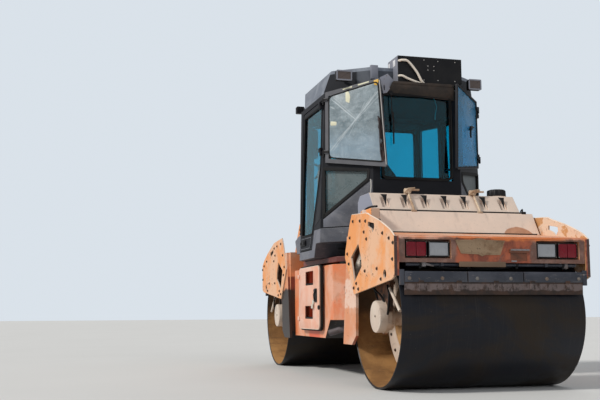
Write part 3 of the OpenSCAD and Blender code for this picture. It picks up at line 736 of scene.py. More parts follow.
def filmed_pane():
    """Pane under a torn sheet of film: milky grey blue and speckled, with a bundle of long crossing scratches."""
    f = Finish("filmed_pane")
    wrinkle = f.noise(9, 8, 0.78, stretch=(1, 1, 1.6), warp=0.6)
    fine = f.noise(70, 6, 0.75)
    run = f.plus(f.times(f.plus(f.along("X"), 0.36), -0.7255), f.times(f.minus(f.along("Y"), 0.8), -0.6882))
    up = f.along("Z")
    wander = f.times(f.minus(f.noise(5, 3, 0.6), 0.5), 0.02)
    scratch = 0.0
    for s0, z0, s1, z1, half, strength in SCRATCHES:
        length = math.hypot(s1 - s0, z1 - z0)
        c, d = (s1 - s0) / length, (z1 - z0) / length
        ahead = f.plus(f.times(run, c), f.times(up, d))
        off = f.plus(f.times(run, -d), f.times(up, c))
        off = f.calc("ABSOLUTE", f.plus(f.plus(off, s0 * d - z0 * c), wander))
        start = s0 * c + z0 * d
        inside = f.times(f.steps(ahead, start, start + 0.03), f.steps(ahead, start + length, start + length - 0.03))
        mark = f.times(f.steps(off, half * 1.9, half * 0.6), f.times(inside, strength))
        scratch = f.most(scratch, mark)
    cover = f.plus(f.times(f.steps(wrinkle, 0.36, 0.64), 0.16), 0.7)
    cover = f.most(cover, f.times(scratch, 0.95))
    low = f.steps(f.plus(up, f.times(wander, 4.0)), 2.32, 2.1)
    colour = f.blend(f.steps(wrinkle, 0.38, 0.64), (0.215, 0.27, 0.3), (0.33, 0.395, 0.43))
    colour = f.blend(low, colour, (0.4, 0.54, 0.66), 0.55)
    colour = f.blend(f.steps(fine, 0.54, 0.66), colour, (0.54, 0.61, 0.64), 0.6)
    colour = f.blend(scratch, colour, (0.62, 0.68, 0.71), 0.75)
    f.put(f.shader.inputs["Transmission Weight"], f.minus(1.0, cover))
    f.bump(f.plus(wrinkle, f.times(fine, 0.3)), 0.002)
    return f.done(colour, 0.34, IOR=1.45, Specular_IOR_Level=0.35)


def lens(name, tint, rough=0.12):
    """Ribbed lamp lens."""
    f = Finish(name)
    wave = f.node("TexWave", Vector=f.scaled((1, 1, 1)), Scale=28.0)
    wave.bands_direction = "Y"
    f.bump(wave.outputs["Fac"], 0.002)
    grime = f.cloud(0.45, 0.75, 20, 5, 0.7)
    colour = f.blend(grime, tint, tuple(0.5 * c for c in tint), 0.25)
    return f.done(colour, rough, Specular_IOR_Level=0.4)


def seat_cloth():
    """Woven seat cover: fine crossed threads on a dark ground."""
    f = Finish("seat_cloth")
    warp_threads = f.calc("SINE", f.times(f.along("X"), 1800.0))
    weft_threads = f.calc("SINE", f.times(f.along("Y"), 1800.0))
    weave = f.times(warp_threads, weft_threads)
    colour = f.blend(f.steps(weave, -0.4, 0.6), (0.02, 0.021, 0.026), (0.045, 0.046, 0.055))
    colour = f.blend(f.cloud(0.5, 0.75, 12, 4, 0.6), colour, (0.1, 0.09, 0.08), 0.4)
    f.bump(weave, 0.0006)
    return f.done(colour, 0.88, Sheen_Weight=0.25)


def hub_paint():
    """Bearing cream on the hub, dark greasy orange on the arm that carries it."""
    f = Finish("hub_paint")
    off = f.minus(f.off("X"), AXLE_X)
    rise = f.minus(f.along("Z"), DRUM_R)
    reach = f.calc("SQRT", f.plus(f.times(off, off), f.times(rise, rise)))
    arm = f.steps(reach, 0.125, 0.135)
    cream = f.blend(f.cloud(0.4, 0.66, 9, 5, 0.65, warp=0.5), (0.62, 0.5, 0.41), (0.42, 0.3, 0.2))
    dark = f.blend(f.cloud(0.38, 0.62, 8, 6, 0.7, warp=0.5), (0.03, 0.02, 0.016), (0.26, 0.1, 0.045))
    colour = f.blend(arm, cream, dark)
    spots = f.cloud(0.6, 0.68, 30, 5, 0.7)
    colour = f.blend(spots, colour, (0.07, 0.045, 0.03), 0.6)
    f.bump(f.noise(60, 5, 0.7), 0.001)
    return f.done(colour, 0.6)


def roof_paint():
    """Roof: grey fascia with a pale worn rim, painted shade on its underside, and painted shade on its
    rear-facing fascia below the rim.
    """
    f = Finish("roof_grey")
    cloud = f.cloud(0.38, 0.68, 5, 5, 0.65, warp=0.5)
    colour = f.blend(cloud, (0.155, 0.175, 0.215), (0.25, 0.275, 0.32))
    # Painted shade: faces that point down are turned near black.
    under = f.steps(f.along("Z", of_normal=True), -0.3, -0.7)
    colour = f.blend(under, colour, (0.014, 0.015, 0.02))
    # Painted shade: the rear-facing fascia below the rim is turned near black, a little less towards the middle.
    behind = f.steps(f.along("X", of_normal=True), -0.25, -0.35)
    inner = f.steps(f.off("Y"), 0.5, 0.52)
    rim = f.steps(f.along("Z"), ROOF_HIGH[2] - 0.035, ROOF_HIGH[2] - 0.031)
    rear_face_shade = f.times(behind, f.minus(1.0, rim))
    colour = f.blend(f.times(rear_face_shade, f.calc("MULTIPLY_ADD", inner, 0.35, 0.62)), colour, (0.008, 0.009, 0.013))
    colour = f.blend(f.edges(0.007), colour, (0.42, 0.44, 0.47), 0.35)
    f.bump(f.noise(150, 3, 0.6), 0.0005, 0.4)
    return f.done(colour, 0.46, Specular_IOR_Level=0.2)


def cab_skin():
    """Grey cab sheet with painted light that makes its sides paler, with dust and scuffs."""
    f = Finish("cab_skin_grey")
    # Painted light: faces that point to the sides are paler.
    side = f.steps(f.off("Y", of_normal=True), 0.72, 0.88)
    colour = f.blend(side, (0.062, 0.066, 0.082), (0.135, 0.142, 0.172))
    cloud = f.cloud(0.42, 0.7, 4, 5, 0.65, warp=0.5)
    colour = f.blend(cloud, colour, (0.27, 0.27, 0.29), 0.35)
    scuff = f.cloud(0.62, 0.68, 26, 5, 0.7, stretch=(0.5, 0.5, 2.5), warp=0.8)
    colour = f.blend(scuff, colour, (0.34, 0.34, 0.36), 0.35)
    colour = f.blend(f.edges(0.006), colour, (0.36, 0.37, 0.4), 0.4)
    f.bump(f.noise(160, 3, 0.6), 0.0005, 0.4)
    return f.done(colour, 0.46, Specular_IOR_Level=0.35)


PAINT = worn_paint("orange_plate_paint", (0.84, 0.33, 0.098), (0.8, 0.47, 0.285), chips=1.2, dirt=0.45, plates=True)
BOX_PAINT = worn_paint("orange_box_paint", (0.74, 0.285, 0.14), (0.78, 0.41, 0.28), chips=0.5, dirt=0.35, edge=0.4,
                       box=True)
STEP_PAINT = worn_paint("orange_step_paint", (0.78, 0.37, 0.24), (0.8, 0.5, 0.39), chips=0.4, dirt=0.25, edge=0.5)
PRIMER = worn_paint("red_primer", (0.13, 0.03, 0.024), (0.2, 0.055, 0.04), chips=0.6)
END_PAINT = end_panel_paint()
HUB_PAINT = hub_paint()
BEIGE = tank_plastic("tank_plastic", False)
BEIGE_STAINED = tank_plastic("tank_cover_plastic", True)
DRUM = drum_steel()
DRUM_IN = drum_inside()
FRAME_BLACK = dusty("cab_frame_black", (0.006, 0.0068, 0.0105), (0.2, 0.2, 0.21), 0.08, 0.45, gloss=0.22)
LEAF_GREY = dusty("leaf_frame_grey", (0.085, 0.087, 0.1), (0.34, 0.33, 0.33), 0.45, 0.5)
PANEL_GREY = cab_skin()
ROOF_GREY = roof_paint()
BLACK_PLASTIC = dusty("black_plastic", (0.007, 0.0072, 0.009), amount=0.1, rough=0.5, gloss=0.25)
RUBBER = dusty("black_rubber", (0.0075, 0.0075, 0.0085), (0.16, 0.15, 0.13), 0.18, 0.7, gloss=0.25)
HOSE_GREY = dusty("ribbed_hose_grey", (0.8, 0.72, 0.62), amount=0.5, rough=0.6)
CREAM = worn_paint("bearing_cream", (0.6, 0.48, 0.39), (0.66, 0.56, 0.47), (0.2, 0.12, 0.07), 0.4, 0.5)
STEEL = rusty_steel("dull_steel", (0.2, 0.19, 0.18), (0.17, 0.11, 0.075))
BOLT_STEEL = rusty_steel("rusty_bolts", (0.055, 0.04, 0.034), (0.11, 0.05, 0.028))
SCRAPER_STEEL = rusty_steel("scraper_blade", (0.028, 0.019, 0.016), (0.07, 0.036, 0.024), 0.7)
BAR_GREY = worn_paint("scraper_bar", (0.026, 0.03, 0.043), (0.05, 0.054, 0.07), (0.17, 0.105, 0.07), 0.4, 0.3)
SHEET_GREY = dusty("sheet_grey", (0.215, 0.225, 0.27), amount=0.4, rough=0.42)
STRAP_PALE = dusty("pale_strap", (0.52, 0.5, 0.47), (0.3, 0.28, 0.25), 0.5, 0.6)
GLASS = window_glass("cab_window_tint", (0.02, 0.53, 0.68), dirty_low=True)
GLASS_BLUE = window_glass("side_window_tint", (0.13, 0.43, 0.68), 0.05, 0.2, painted_sky_veil=(0.035, 0.2, 0.42))
FILM = filmed_pane()
RED_LENS = lens("red_lens", (0.2, 0.004, 0.014), 0.25)
CLEAR_LENS = lens("clear_lens", (0.36, 0.37, 0.39), 0.25)
AMBER_LENS = lens("amber_lens", (0.72, 0.26, 0.02))
LABEL = dusty("bare_label", (0.7, 0.68, 0.5), (0.4, 0.38, 0.32), 0.4, 0.5)
WHITE_LABEL = dusty("bare_white_label", (0.74, 0.74, 0.76), (0.5, 0.48, 0.45), 0.3, 0.5)
LAMP_BROWN = lens("work_lamp_glass", (0.105, 0.082, 0.074), 0.2)
LINER = dusty("headliner", (0.006, 0.0062, 0.008), (0.1, 0.09, 0.08), 0.15, 0.8, gloss=0.15)
RUST_DARK = rusty_steel("dark_residue", (0.05, 0.03, 0.028), (0.02, 0.012, 0.012))
MIRROR = dusty("mirror_glass", (0.018, 0.019, 0.022), amount=0.2, rough=0.06)
PALE_RIM = dusty("pale_plate_rim", (0.8, 0.66, 0.55), (0.45, 0.3, 0.2), 0.5, 0.5)
STRIP_BROWN = dusty("brown_strip", (0.15, 0.092, 0.056), (0.26, 0.2, 0.15), 0.4, 0.55)
NOZZLE = rusty_steel("nozzle_metal", (0.3, 0.28, 0.29), (0.16, 0.13, 0.12))
KEY_PALE = dusty("pale_key", (0.62, 0.58, 0.5), (0.3, 0.2, 0.12), 0.4, 0.45)
PIPE_DARK = rusty_steel("exhaust_metal", (0.15, 0.135, 0.155), (0.095, 0.075, 0.075))
YELLOW = dusty("yellow_tape", (0.62, 0.36, 0.03), amount=0.4, rough=0.5)
CLOTH = seat_cloth()
SHIELD = rusty_steel("bare_shield_metal", (0.34, 0.235, 0.145), (0.24, 0.145, 0.082))
PLATE_LAMP = rusty_steel("plate_lamp_metal", (0.22, 0.075, 0.04), (0.12, 0.055, 0.035))
BUCKLE = rusty_steel("buckle_metal", (0.62, 0.5, 0.37), (0.4, 0.26, 0.16))
BLOTCHED = rusty_steel("shelf_metal", (0.026, 0.023, 0.021), (0.055, 0.04, 0.031))


# Camera at the photograph's view, lights and floor.


AMBIENT = (0.93, 0.96, 1.0, 1)
BACKDROP = (0.7, 0.76, 0.82, 1)


def camera():
    """Camera fitted to the photograph: place, yaw, pitch and roll, 54 mm on a 36 mm frame."""
    yaw, pitch, roll = -0.25702, 0.12299, -0.00469
    forward = np.array([math.cos(pitch) * math.cos(yaw), math.cos(pitch) * math.sin(yaw), math.sin(pitch)])
    level = np.array([math.sin(yaw), -math.cos(yaw), 0.0])
    upright = np.cross(level, forward)
    right = math.cos(roll) * level + math.sin(roll) * upright
    up = -math.sin(roll) * level + math.cos(roll) * upright
    data = bpy.data.cameras.new("photo_camera")
    data.sensor_fit = "HORIZONTAL"
    data.sensor_width = 36.0
    data.lens = 54.0
    data.clip_end = 300.0
    view = linked("photo_camera", data)
    turn = Matrix((right, up, -forward)).transposed().to_4x4()
    view.matrix_world = Matrix.Translation((-8.4067, 3.1323, 0.6044)) @ turn
    bpy.context.scene.camera = view


def sun(name, toward, strength, softness, colour=(1, 1, 1), mirrored=False):
    """Even soft light that comes from one direction; softness is its angle across in degrees. Only a mirrored one
    shows in gloss."""
    data = bpy.data.lights.new(name, "SUN")
    data.energy = strength
    data.angle = math.radians(softness)
    data.color = colour
    light = linked(name, data)
    back = np.array(toward, float)
    back /= np.linalg.norm(back)
    side = np.cross([0, 0, 1], back)
    side /= np.linalg.norm(side)
    light.matrix_world = Matrix((side, np.cross(back, side), back)).transposed().to_4x4()
    light.visible_transmission = False
    light.visible_glossy = mirrored


def stage():
    """Pale floor to the horizon, pale surroundings that the camera, gloss and glass see, and soft lights."""
    scene = bpy.context.scene
    scene.view_settings.view_transform = "Standard"
    half = 60.0
    mesh = bpy.data.meshes.new("floor")
    mesh.from_pydata([(-half, -half, 0), (half, -half, 0), (half, half, 0), (-half, half, 0)], [], [(0, 1, 2, 3)])
    f = Finish("floor_pale")
    tone = f.blend(f.noise(0.6, 3, 0.5), (0.56, 0.56, 0.55), (0.6, 0.6, 0.59))
    mesh.materials.append(f.done(tone, 0.9))
    floor = linked("floor", mesh)
    world = bpy.data.worlds.new("studio")
    scene.world = world
    world.use_nodes = True
    tree = world.node_tree
    tree.nodes.clear()
    seen = tree.nodes.new("ShaderNodeLightPath")
    look = tree.nodes.new("ShaderNodeMath")
    look.operation = "MAXIMUM"
    choose = tree.nodes.new("ShaderNodeMixShader")
    out = tree.nodes.new("ShaderNodeOutputWorld")
    tree.links.new(seen.outputs["Is Camera Ray"], look.inputs[0])
    tree.links.new(seen.outputs["Is Transmission Ray"], look.inputs[1])
    tree.links.new(look.outputs[0], choose.inputs[0])
    for number, (colour, strength) in enumerate(((AMBIENT, 0.42), (BACKDROP, 1.0)), 1):
        glow = tree.nodes.new("ShaderNodeBackground")
        glow.inputs[0].default_value = colour
        glow.inputs[1].default_value = strength
        tree.links.new(glow.outputs[0], choose.inputs[number])
    tree.links.new(choose.outputs[0], out.inputs[0])
    sun("key_light", (-0.1, 0.8, 0.72), 2.5, 9.0, (1.0, 0.97, 0.92), mirrored=True)
    sun("rear_fill", (-0.85, -0.25, 0.45), 0.55, 40.0, (0.93, 0.96, 1.0))
    sun("front_fill", (0.8, -0.45, 0.4), 0.75, 40.0)


camera()
stage()


# Painted panels and frames that keep the CAD form, with rounded rims.

PANEL_FINISHES = {
    "centre_box": BOX_PAINT, "front_yoke": END_PAINT, "rear_yoke": END_PAINT,
    "front_side_plates": PAINT, "rear_side_plates": PAINT, "engine_hood": PAINT,
    "front_pivot": PRIMER, "rear_pivot": PRIMER, "cab_base": PRIMER,
    "cab_body": PANEL_GREY, "cab_frame": FRAME_BLACK, "cab_roof": ROOF_GREY,
    "roof_shelf": BLOTCHED, "water_tank": BEIGE, "tank_cover": BEIGE_STAINED,
    "door_left": FRAME_BLACK, "door_right": FRAME_BLACK, "vent_left": LEAF_GREY,
    "seat_base": BLACK_PLASTIC, "cab_mounts": RUBBER, "engine": STEEL, "ac_box": BLACK_PLASTIC,
    "front_hub_arms": HUB_PAINT, "rear_hub_arms": HUB_PAINT,
}
for node_name, node_finish in PANEL_FINISHES.items():
    softened(node_name, node_finish)

PANE_FINISHES = {
    "cab_glass": GLASS, "door_glass_left": GLASS, "door_glass_right": GLASS,
}
for node_name, node_finish in PANE_FINISHES.items():
    NODES[node_name].data.materials.clear()
    NODES[node_name].data.materials.append(node_finish)


# Drums.


def drum_shapes():
    """Drum shell and web turned about the axle: the profile runs round the shell's section with rounded lips, then
    over the web with its raised flange; angle goes round in equal steps."""
    inner = DRUM_R - SHELL_T
    web = DRUM_Y - WEB_IN
    lip = 0.006
    outside = [(-DRUM_Y, inner + lip), (-DRUM_Y, DRUM_R - lip), (-DRUM_Y + lip * 0.3, DRUM_R - lip * 0.3),
               (-DRUM_Y + lip, DRUM_R), (DRUM_Y - lip, DRUM_R), (DRUM_Y - lip * 0.3, DRUM_R - lip * 0.3),
               (DRUM_Y, DRUM_R - lip), (DRUM_Y, inner + lip), (DRUM_Y - lip, inner), (-DRUM_Y + lip, inner)]
    shell = turned(outside, count=192, wrap_rings=True)
    half = [(web - 0.024, inner - 0.0005), (web - 0.006, inner - 0.0005), (web, inner - 0.02), (web, 0.5),
            (web + 0.01, 0.488), (web + 0.055, 0.474), (web + 0.065, 0.462), (web + 0.065, 0.292), (web + 0.055, 0.28),
            (web + 0.018, 0.24), (web + 0.018, 0.1), (web - 0.024, 0.09)]
    return shell, [turned([(y * side, r) for y, r in half], count=96) for side in (1, -1)]


def drums():
    """Both drums, their webs, and the pale bolted ring on each web."""
    shell, webs = drum_shapes()
    ring = np.linspace(0, TURN, 16, endpoint=False)
    face = DRUM_Y - WEB_IN + 0.065
    bolts, flanges = [], []
    ring_profile = [(face - 0.004, 0.3), (face + 0.005, 0.302), (face + 0.006, 0.306), (face + 0.006, 0.446),
                    (face + 0.005, 0.452), (face - 0.004, 0.454)]
    for side in (1, -1):
        flanges.append(turned([(y * side, r) for y, r in ring_profile], count=96, wrap_rings=True))
        places = np.stack([0.385 * np.sin(ring), np.full(16, (face + 0.006) * side), 0.385 * np.cos(ring)], axis=1)
        bolts.append(repeated(stud(0.012, 0.012, side), places))
    for end_name, end in ENDS:
        centre = (end * AXLE_X, 0, DRUM_R)
        body = end_name + "_roller"
        made = piece(end_name + "_drum_shell", shifted(shell, centre), body, DRUM)
        made.data.materials.append(DRUM_IN)
        mesh = made.data
        middles = np.zeros(len(mesh.polygons) * 3)
        mesh.polygons.foreach_get("center", middles)
        middles = middles.reshape(-1, 3) - np.array(centre)
        inside = np.hypot(middles[:, 0], middles[:, 2]) < DRUM_R - SHELL_T + 0.002
        mesh.polygons.foreach_set("material_index", inside.astype(np.int32))
        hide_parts(end_name + "_drum")
        piece(end_name + "_drum_webs", [shifted(w, centre) for w in webs], body, DRUM_IN)
        piece(end_name + "_drum_rings", [shifted(b, centre) for b in flanges], body, CREAM)
        piece(end_name + "_drum_bolts", [shifted(b, centre) for b in bolts], body, BOLT_STEEL)


drums()

# Bolted plates, hubs and scrapers of both ends, laid out at the front left.

# Places of the plate bolts, forward and up from the axle.
PLATE_BOLTS = ((-0.391, 0.786), (-0.208, 0.772), (-0.07, 0.758), (-0.111, 0.674), (-0.052, 0.613), (-0.478, 0.655),
               (0.322, 0.629), (0.461, 0.58), (0.543, 0.54), (-0.552, 0.524), (-0.513, 0.438), (0.186, 0.367),
               (0.526, 0.421), (-0.099, 0.361), (0.273, 0.284), (-0.269, 0.222), (-0.319, 0.268), (-0.386, 0.233))
IN_Y = PLATE_Y - PLATE_T
FRONT, REAR = "front_frame", "rear_frame"
FRAME_OF = {"front": FRONT, "rear": REAR}


def at_ends(name, shape, finish, angle=35, node=""):
    """One piece for each end, drawn at the front and mirrored to the rear; it may stand for the end's node."""
    if isinstance(shape, list):
        shape = joined(shape)
    for end_name, end in ENDS:
        made = piece(f"{end_name}_{name}", shifted(shape, flip=(end, 1, 1)), FRAME_OF[end_name], finish,
                     angle)
        if node:
            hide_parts(f"{end_name}_{node}")


def at_corners(name, shape, finish, angle=35, node=""):
    """One piece for each end that holds the shape on both sides."""
    if isinstance(shape, list):
        shape = joined(shape)
    at_ends(name, both_sides(shape), finish, angle, node)


def plate_bolts():
    """Hexagon heads on washers, round the rim of every side plate."""
    places = [(AXLE_X + x, PLATE_Y, DRUM_R + z) for x, z in PLATE_BOLTS]
    at_corners("plate_bolts", repeated(bolt(0.0095, 0.01, 1), places), BOLT_STEEL)


def hubs():
    """Smooth bearing caps with a turned step at the rim, a centre plug and one small nipple."""
    face = DRUM_Y + 0.008
    cap = [(face - 0.062, 0.1), (face - 0.062, 0.124), (face - 0.006, 0.126), (face + 0.001, 0.1225),
           (face + 0.002, 0.118), (face + 0.002, 0.014), (face - 0.001, 0.012), (face - 0.001, 0.004)]
    at_corners("bearing_cap", turned(cap, (AXLE_X, 0, DRUM_R), "y", 72), CREAM)
    plug = [shifted(stud(0.007, 0.004, 1), (AXLE_X - 0.004, face + 0.001, DRUM_R + 0.003)),
            tube([(AXLE_X - 0.03, face - 0.02, DRUM_R + 0.126), (AXLE_X - 0.03, face - 0.02, DRUM_R + 0.138)], 0.006,
                 10, 1)]
    at_corners("bearing_plug", plug, BOLT_STEEL)


def hub_hoses():
    """Hydraulic hoses that loop from the leg down to the drum motor, and the cream strut out to the scraper."""
    routes = [
        [(1.3, 0.745, 1.02), (1.4, 0.735, 0.92), (1.52, 0.725, 0.82), (1.56, 0.7, 0.72), (1.6, 0.68, 0.62)],
        [(1.3, 0.7, 1.0), (1.44, 0.715, 0.86), (1.6, 0.73, 0.775), (1.7, 0.715, 0.72), (1.74, 0.69, 0.64)],
        [(1.86, 0.72, 0.8), (1.93, 0.735, 0.72), (1.9, 0.73, 0.63), (1.8, 0.7, 0.58), (1.72, 0.68, 0.56)],
    ]
    at_corners("motor_hoses", [tube(route, 0.0085, 12) for route in routes], RUBBER)
    strut = [(1.915, 0.72, 0.777), (2.118, 0.72, 0.603)]
    at_corners("scraper_strut", [tube(strut, 0.013, 12, 1)], CREAM)


def lagged_hose():
    """Wide ribbed sleeve behind the opening in each side plate."""
    route = [(1.31, 0.722, 1.072), (1.273, 0.722, 1.045), (1.219, 0.722, 1.008), (1.164, 0.722, 0.962),
             (1.135, 0.722, 0.908), (1.132, 0.722, 0.86), (1.133, 0.722, 0.83)]
    at_corners("ribbed_sleeve", tube(route, 0.03, 22, 8, ribs=0.005, pitch=0.026), HOSE_GREY, 60)


def plate_edges():
    """Pale bead along the upper edge of each side plate, and painted shade behind the left holes: a dark block behind
    the lifting hole and a dark disc behind the round one.
    """
    edge = [(-0.43, 0.845), (-0.06, 0.82), (0.03, 0.795), (0.26, 0.727), (0.47, 0.645),
            (END_X - AXLE_X - 0.006, 0.592)]
    route = [(AXLE_X + x, PLATE_Y - 0.0065, DRUM_R + z - 0.002) for x, z in edge]
    at_corners("plate_beads", tube(route, 0.0065, 10, 4), PALE_RIM)
    # Painted shade: a dark block and a dark disc stand for the shade seen through the left holes.
    duct = bar((AXLE_X - 0.05, IN_Y - 0.03, DRUM_R + 0.63), (AXLE_X + 0.17, IN_Y - 0.006, DRUM_R + 0.755), 0.004, "x",
               0.008)
    blank = turned([(IN_Y - 0.012, 0.01), (IN_Y - 0.012, 0.046), (IN_Y - 0.004, 0.046), (IN_Y - 0.004, 0.01)],
                   (AXLE_X + 0.354, 0, DRUM_R + 0.319), "y", 32)
    at_ends("hole_shade_duct", [duct, blank], RUBBER)


def scraper_parts():
    """Three bars across the drum with bolts and gaps, the blade below, its clips and end cheeks: they stand for the
    scraper solids."""
    mid, low = DRUM_R + 0.252, DRUM_R + 0.16
    front = END_X + 0.009
    spans = ((-0.73, -0.232), (-0.226, 0.226), (0.232, 0.73))
    bars = [bar((END_X - 0.011, a, mid), (front, b, DRUM_R + 0.332), 0.004, "y", 0.004) for a, b in spans]
    blade_outline = [(END_X - 0.004, low), (END_X + 0.004, low), (END_X + 0.006, mid + 0.01),
                     (END_X - 0.002, mid + 0.01)]
    blade = plate(blade_outline, -DRUM_Y + 0.02, DRUM_Y - 0.02, "y", 0.0015)
    cheek_y = IN_Y - 0.024
    cheek = bar((END_X - 0.011, DRUM_Y - 0.019, DRUM_R + 0.23), (front, cheek_y, DRUM_R + 0.345), 0.003, "y", 0.004)
    heads = [(front, y, DRUM_R + 0.28) for y in (-0.695, -0.422, -0.121, 0.153, 0.433, 0.692)]
    clips = [bar((END_X - 0.01, y - 0.02, mid - 0.05), (front + 0.006, y + 0.02, mid + 0.012), 0.003, "x", 0.004)
             for y in (-0.6, -0.3, 0.0, 0.3, 0.6)]
    at_ends("scraper_bars", bars, BAR_GREY, node="scraper")
    at_ends("scraper_blade", blade, SCRAPER_STEEL)
    at_corners("scraper_cheeks", cheek, BAR_GREY)
    at_ends("scraper_bolts", repeated(bolt(0.009, 0.009, 1, "x"), heads), STEEL)
    at_ends("blade_clips", clips, SCRAPER_STEEL)


# Lamps and end panels.


def lamp_unit(low_y, high_y, parts, bezel=0.008):
    """One lamp of an end panel: a black housing with a raised rim, and lens fields side by side with ribs."""
    z0, z1 = 1.0, 1.114
    outline = rounded_box_outline((low_y, z0), (high_y, z1), 0.01)
    back, rim_face, lens_face = END_X - 0.073, END_X - 0.014, END_X - 0.019
    housing = [plate(outline, back, END_X - 0.03, "x", 0.003), surround(outline, bezel, END_X - 0.032, rim_face, "x")]
    fields, ribs = [], []
    width = (high_y - low_y - 2 * bezel - 0.004 * (parts - 1)) / parts
    for k in range(parts):
        y0 = low_y + bezel + k * (width + 0.004)
        face = rounded_box_outline((y0, z0 + bezel), (y0 + width, z1 - bezel), 0.005)
        fields.append(plate(face, END_X - 0.034, lens_face, "x", 0.0035))
        for y in np.arange(y0 + 0.01, y0 + width - 0.006, 0.009):
            ribs.append(bar((lens_face - 0.003, y - 0.0022, z0 + 0.016), (lens_face + 0.0012, y + 0.0022, z1 - 0.016),
                            0.001, "z", 0.0012))
    screws = [shifted(stud(0.004, 0.002, 1, "x"), (rim_face, y, z)) for y in (low_y + 0.006, high_y - 0.006)
              for z in (z0 + 0.006, z1 - 0.006)]
    return housing, fields + ribs, screws


def end_lamps():
    """Outer and inner lamps in all four recesses: red and clear at the rear, clear and amber at the front."""
    outer = lamp_unit(0.542, 0.706, 2, 0.0035)
    inner = lamp_unit(0.362, 0.528, 1)
    tints = {"front": (AMBER_LENS, CLEAR_LENS), "rear": (RED_LENS, CLEAR_LENS)}
    slots = {"front": ("lamp_lens", "lamp_lens"), "rear": ("tail_lens", "lamp_lens")}
    at_corners("lamp_housings", outer[0] + inner[0], BLACK_PLASTIC, node="lamps")
    at_corners("lamp_screws", outer[2] + inner[2], STEEL)
    for end_name, end in ENDS:
        for unit, label, tint, slot_name in zip((outer, inner), ("outer", "inner"), tints[end_name], slots[end_name]):
            piece(f"{end_name}_{label}_lenses", shifted(both_sides(joined(unit[1])), flip=(end, 1, 1)),
                  FRAME_OF[end_name], tint)


def end_panel_parts():
    """Riveted lip along the upper edge, and spray pipe with nozzles, at both ends; blank shield, plate lamp, strip,
    elbows and hoses at the rear."""
    face = END_X - 0.005
    shield = [(0.32, 1.128), (0.18, 1.13), (0.125, 1.145), (0.07, 1.13), (-0.085, 1.126), (-0.045, 1.018),
              (0.08, 1.016), (0.105, 1.006), (0.132, 1.02), (0.275, 1.026)]
    lip = bar((END_X - 0.03, -0.745, 1.14), (END_X + 0.002, 0.745, 1.1475), 0.002, "y", 0.003)
    row = [(END_X - 0.012, y, 1.1475) for y in np.arange(-0.7, 0.71, 0.028)]
    pipe = tube([(END_X - 0.045, -0.7, 0.945), (END_X - 0.045, 0.7, 0.945)], 0.014, 14, 1)
    nozzles = []
    for y in (-0.59, -0.2, 0.2, 0.586):
        nozzles.append(turned([(0.972, 0.012), (0.965, 0.017), (0.935, 0.017), (0.93, 0.011), (0.915, 0.009)],
                              (END_X - 0.045, y, 0), "z", 16))
    clips = [bar((END_X - 0.06, y - 0.012, 0.93), (END_X - 0.02, y + 0.012, 0.975), 0.002, "y", 0.004)
             for y in (-0.44, -0.02, 0.42)]
    at_ends("panel_lip", lip, END_PAINT)
    at_ends("lip_rivets", repeated(stud(0.004, 0.0025, 1, "z", 8), row), BOLT_STEEL)
    at_ends("spray_pipe", [pipe] + clips, BAR_GREY)
    at_ends("spray_nozzles", nozzles, BLACK_PLASTIC)
    badge = plate(shield, -face - 0.004, -face, "x", 0.002)
    piece("blank_shield", [badge, surround(shield, 0.009, -face - 0.004, -face - 0.0065, "x", 0.001)], REAR, SHIELD)
    bracket = [bar((-END_X - 0.012, -0.28, 1.034), (-END_X + 0.006, -0.122, 1.062), 0.003, "x", 0.006),
               bar((-END_X + 0.001, -0.27, 0.975), (-END_X + 0.005, -0.132, 1.04), 0.0015, "x", 0.004)]
    piece("number_plate_lamp", bracket, REAR, PLATE_LAMP)
    trim = [bar((-END_X - 0.014, -0.284, 1.05), (-END_X - 0.008, -0.128, 1.064), 0.001, "y", 0.002),
            bar((-END_X - 0.006, -0.178, 0.966), (-END_X + 0.001, -0.136, 0.977), 0.001, "y", 0.002)]
    piece("plate_lamp_trim", trim, REAR, NOZZLE)
    strip = bar((-END_X - 0.002, -0.088, 0.926), (-END_X + 0.012, 0.29, 0.966), 0.003, "y", 0.005)
    piece("panel_drip_strip", strip, REAR, STRIP_BROWN)
    elbows = [tube([(-2.17, 0.64, 0.985), (-2.19, 0.6, 0.955), (-2.2, 0.54, 0.946), (-2.195, 0.48, 0.938)], 0.011, 12),
              turned([(0.925, 0.01), (0.932, 0.022), (0.968, 0.024), (0.978, 0.014)], (-2.195, 0.56, 0), "z", 18),
              turned([(0.915, 0.008), (0.922, 0.02), (0.952, 0.024), (0.972, 0.012)], (-2.19, -0.618, 0), "z", 18),
              tube([(-2.18, -0.64, 0.975), (-2.19, -0.61, 0.95), (-2.2, -0.56, 0.965), (-2.19, -0.51, 0.975)], 0.008,
                   10)]
    piece("spray_elbows", elbows, REAR, NOZZLE)
    routes = [[(-2.16, 0.6, 1.0), (-2.17, 0.45, 0.93), (-2.16, 0.2, 0.915), (-2.17, -0.1, 0.925), (-2.15, -0.4, 0.98)],
              [(-2.12, 0.66, 1.02), (-2.14, 0.56, 0.955), (-2.15, 0.4, 0.985), (-2.12, 0.25, 1.01)],
              [(-2.14, -0.35, 1.01), (-2.17, -0.48, 0.935), (-2.16, -0.62, 0.95), (-2.13, -0.68, 1.02)]]
    piece("panel_hoses", [tube(route, 0.01, 10) for route in routes], REAR, RUBBER)


plate_bolts()
hubs()
hub_hoses()
lagged_hose()
plate_edges()
scraper_parts()
end_lamps()
end_panel_parts()


# Step covers, latches and the exhaust under the cab.


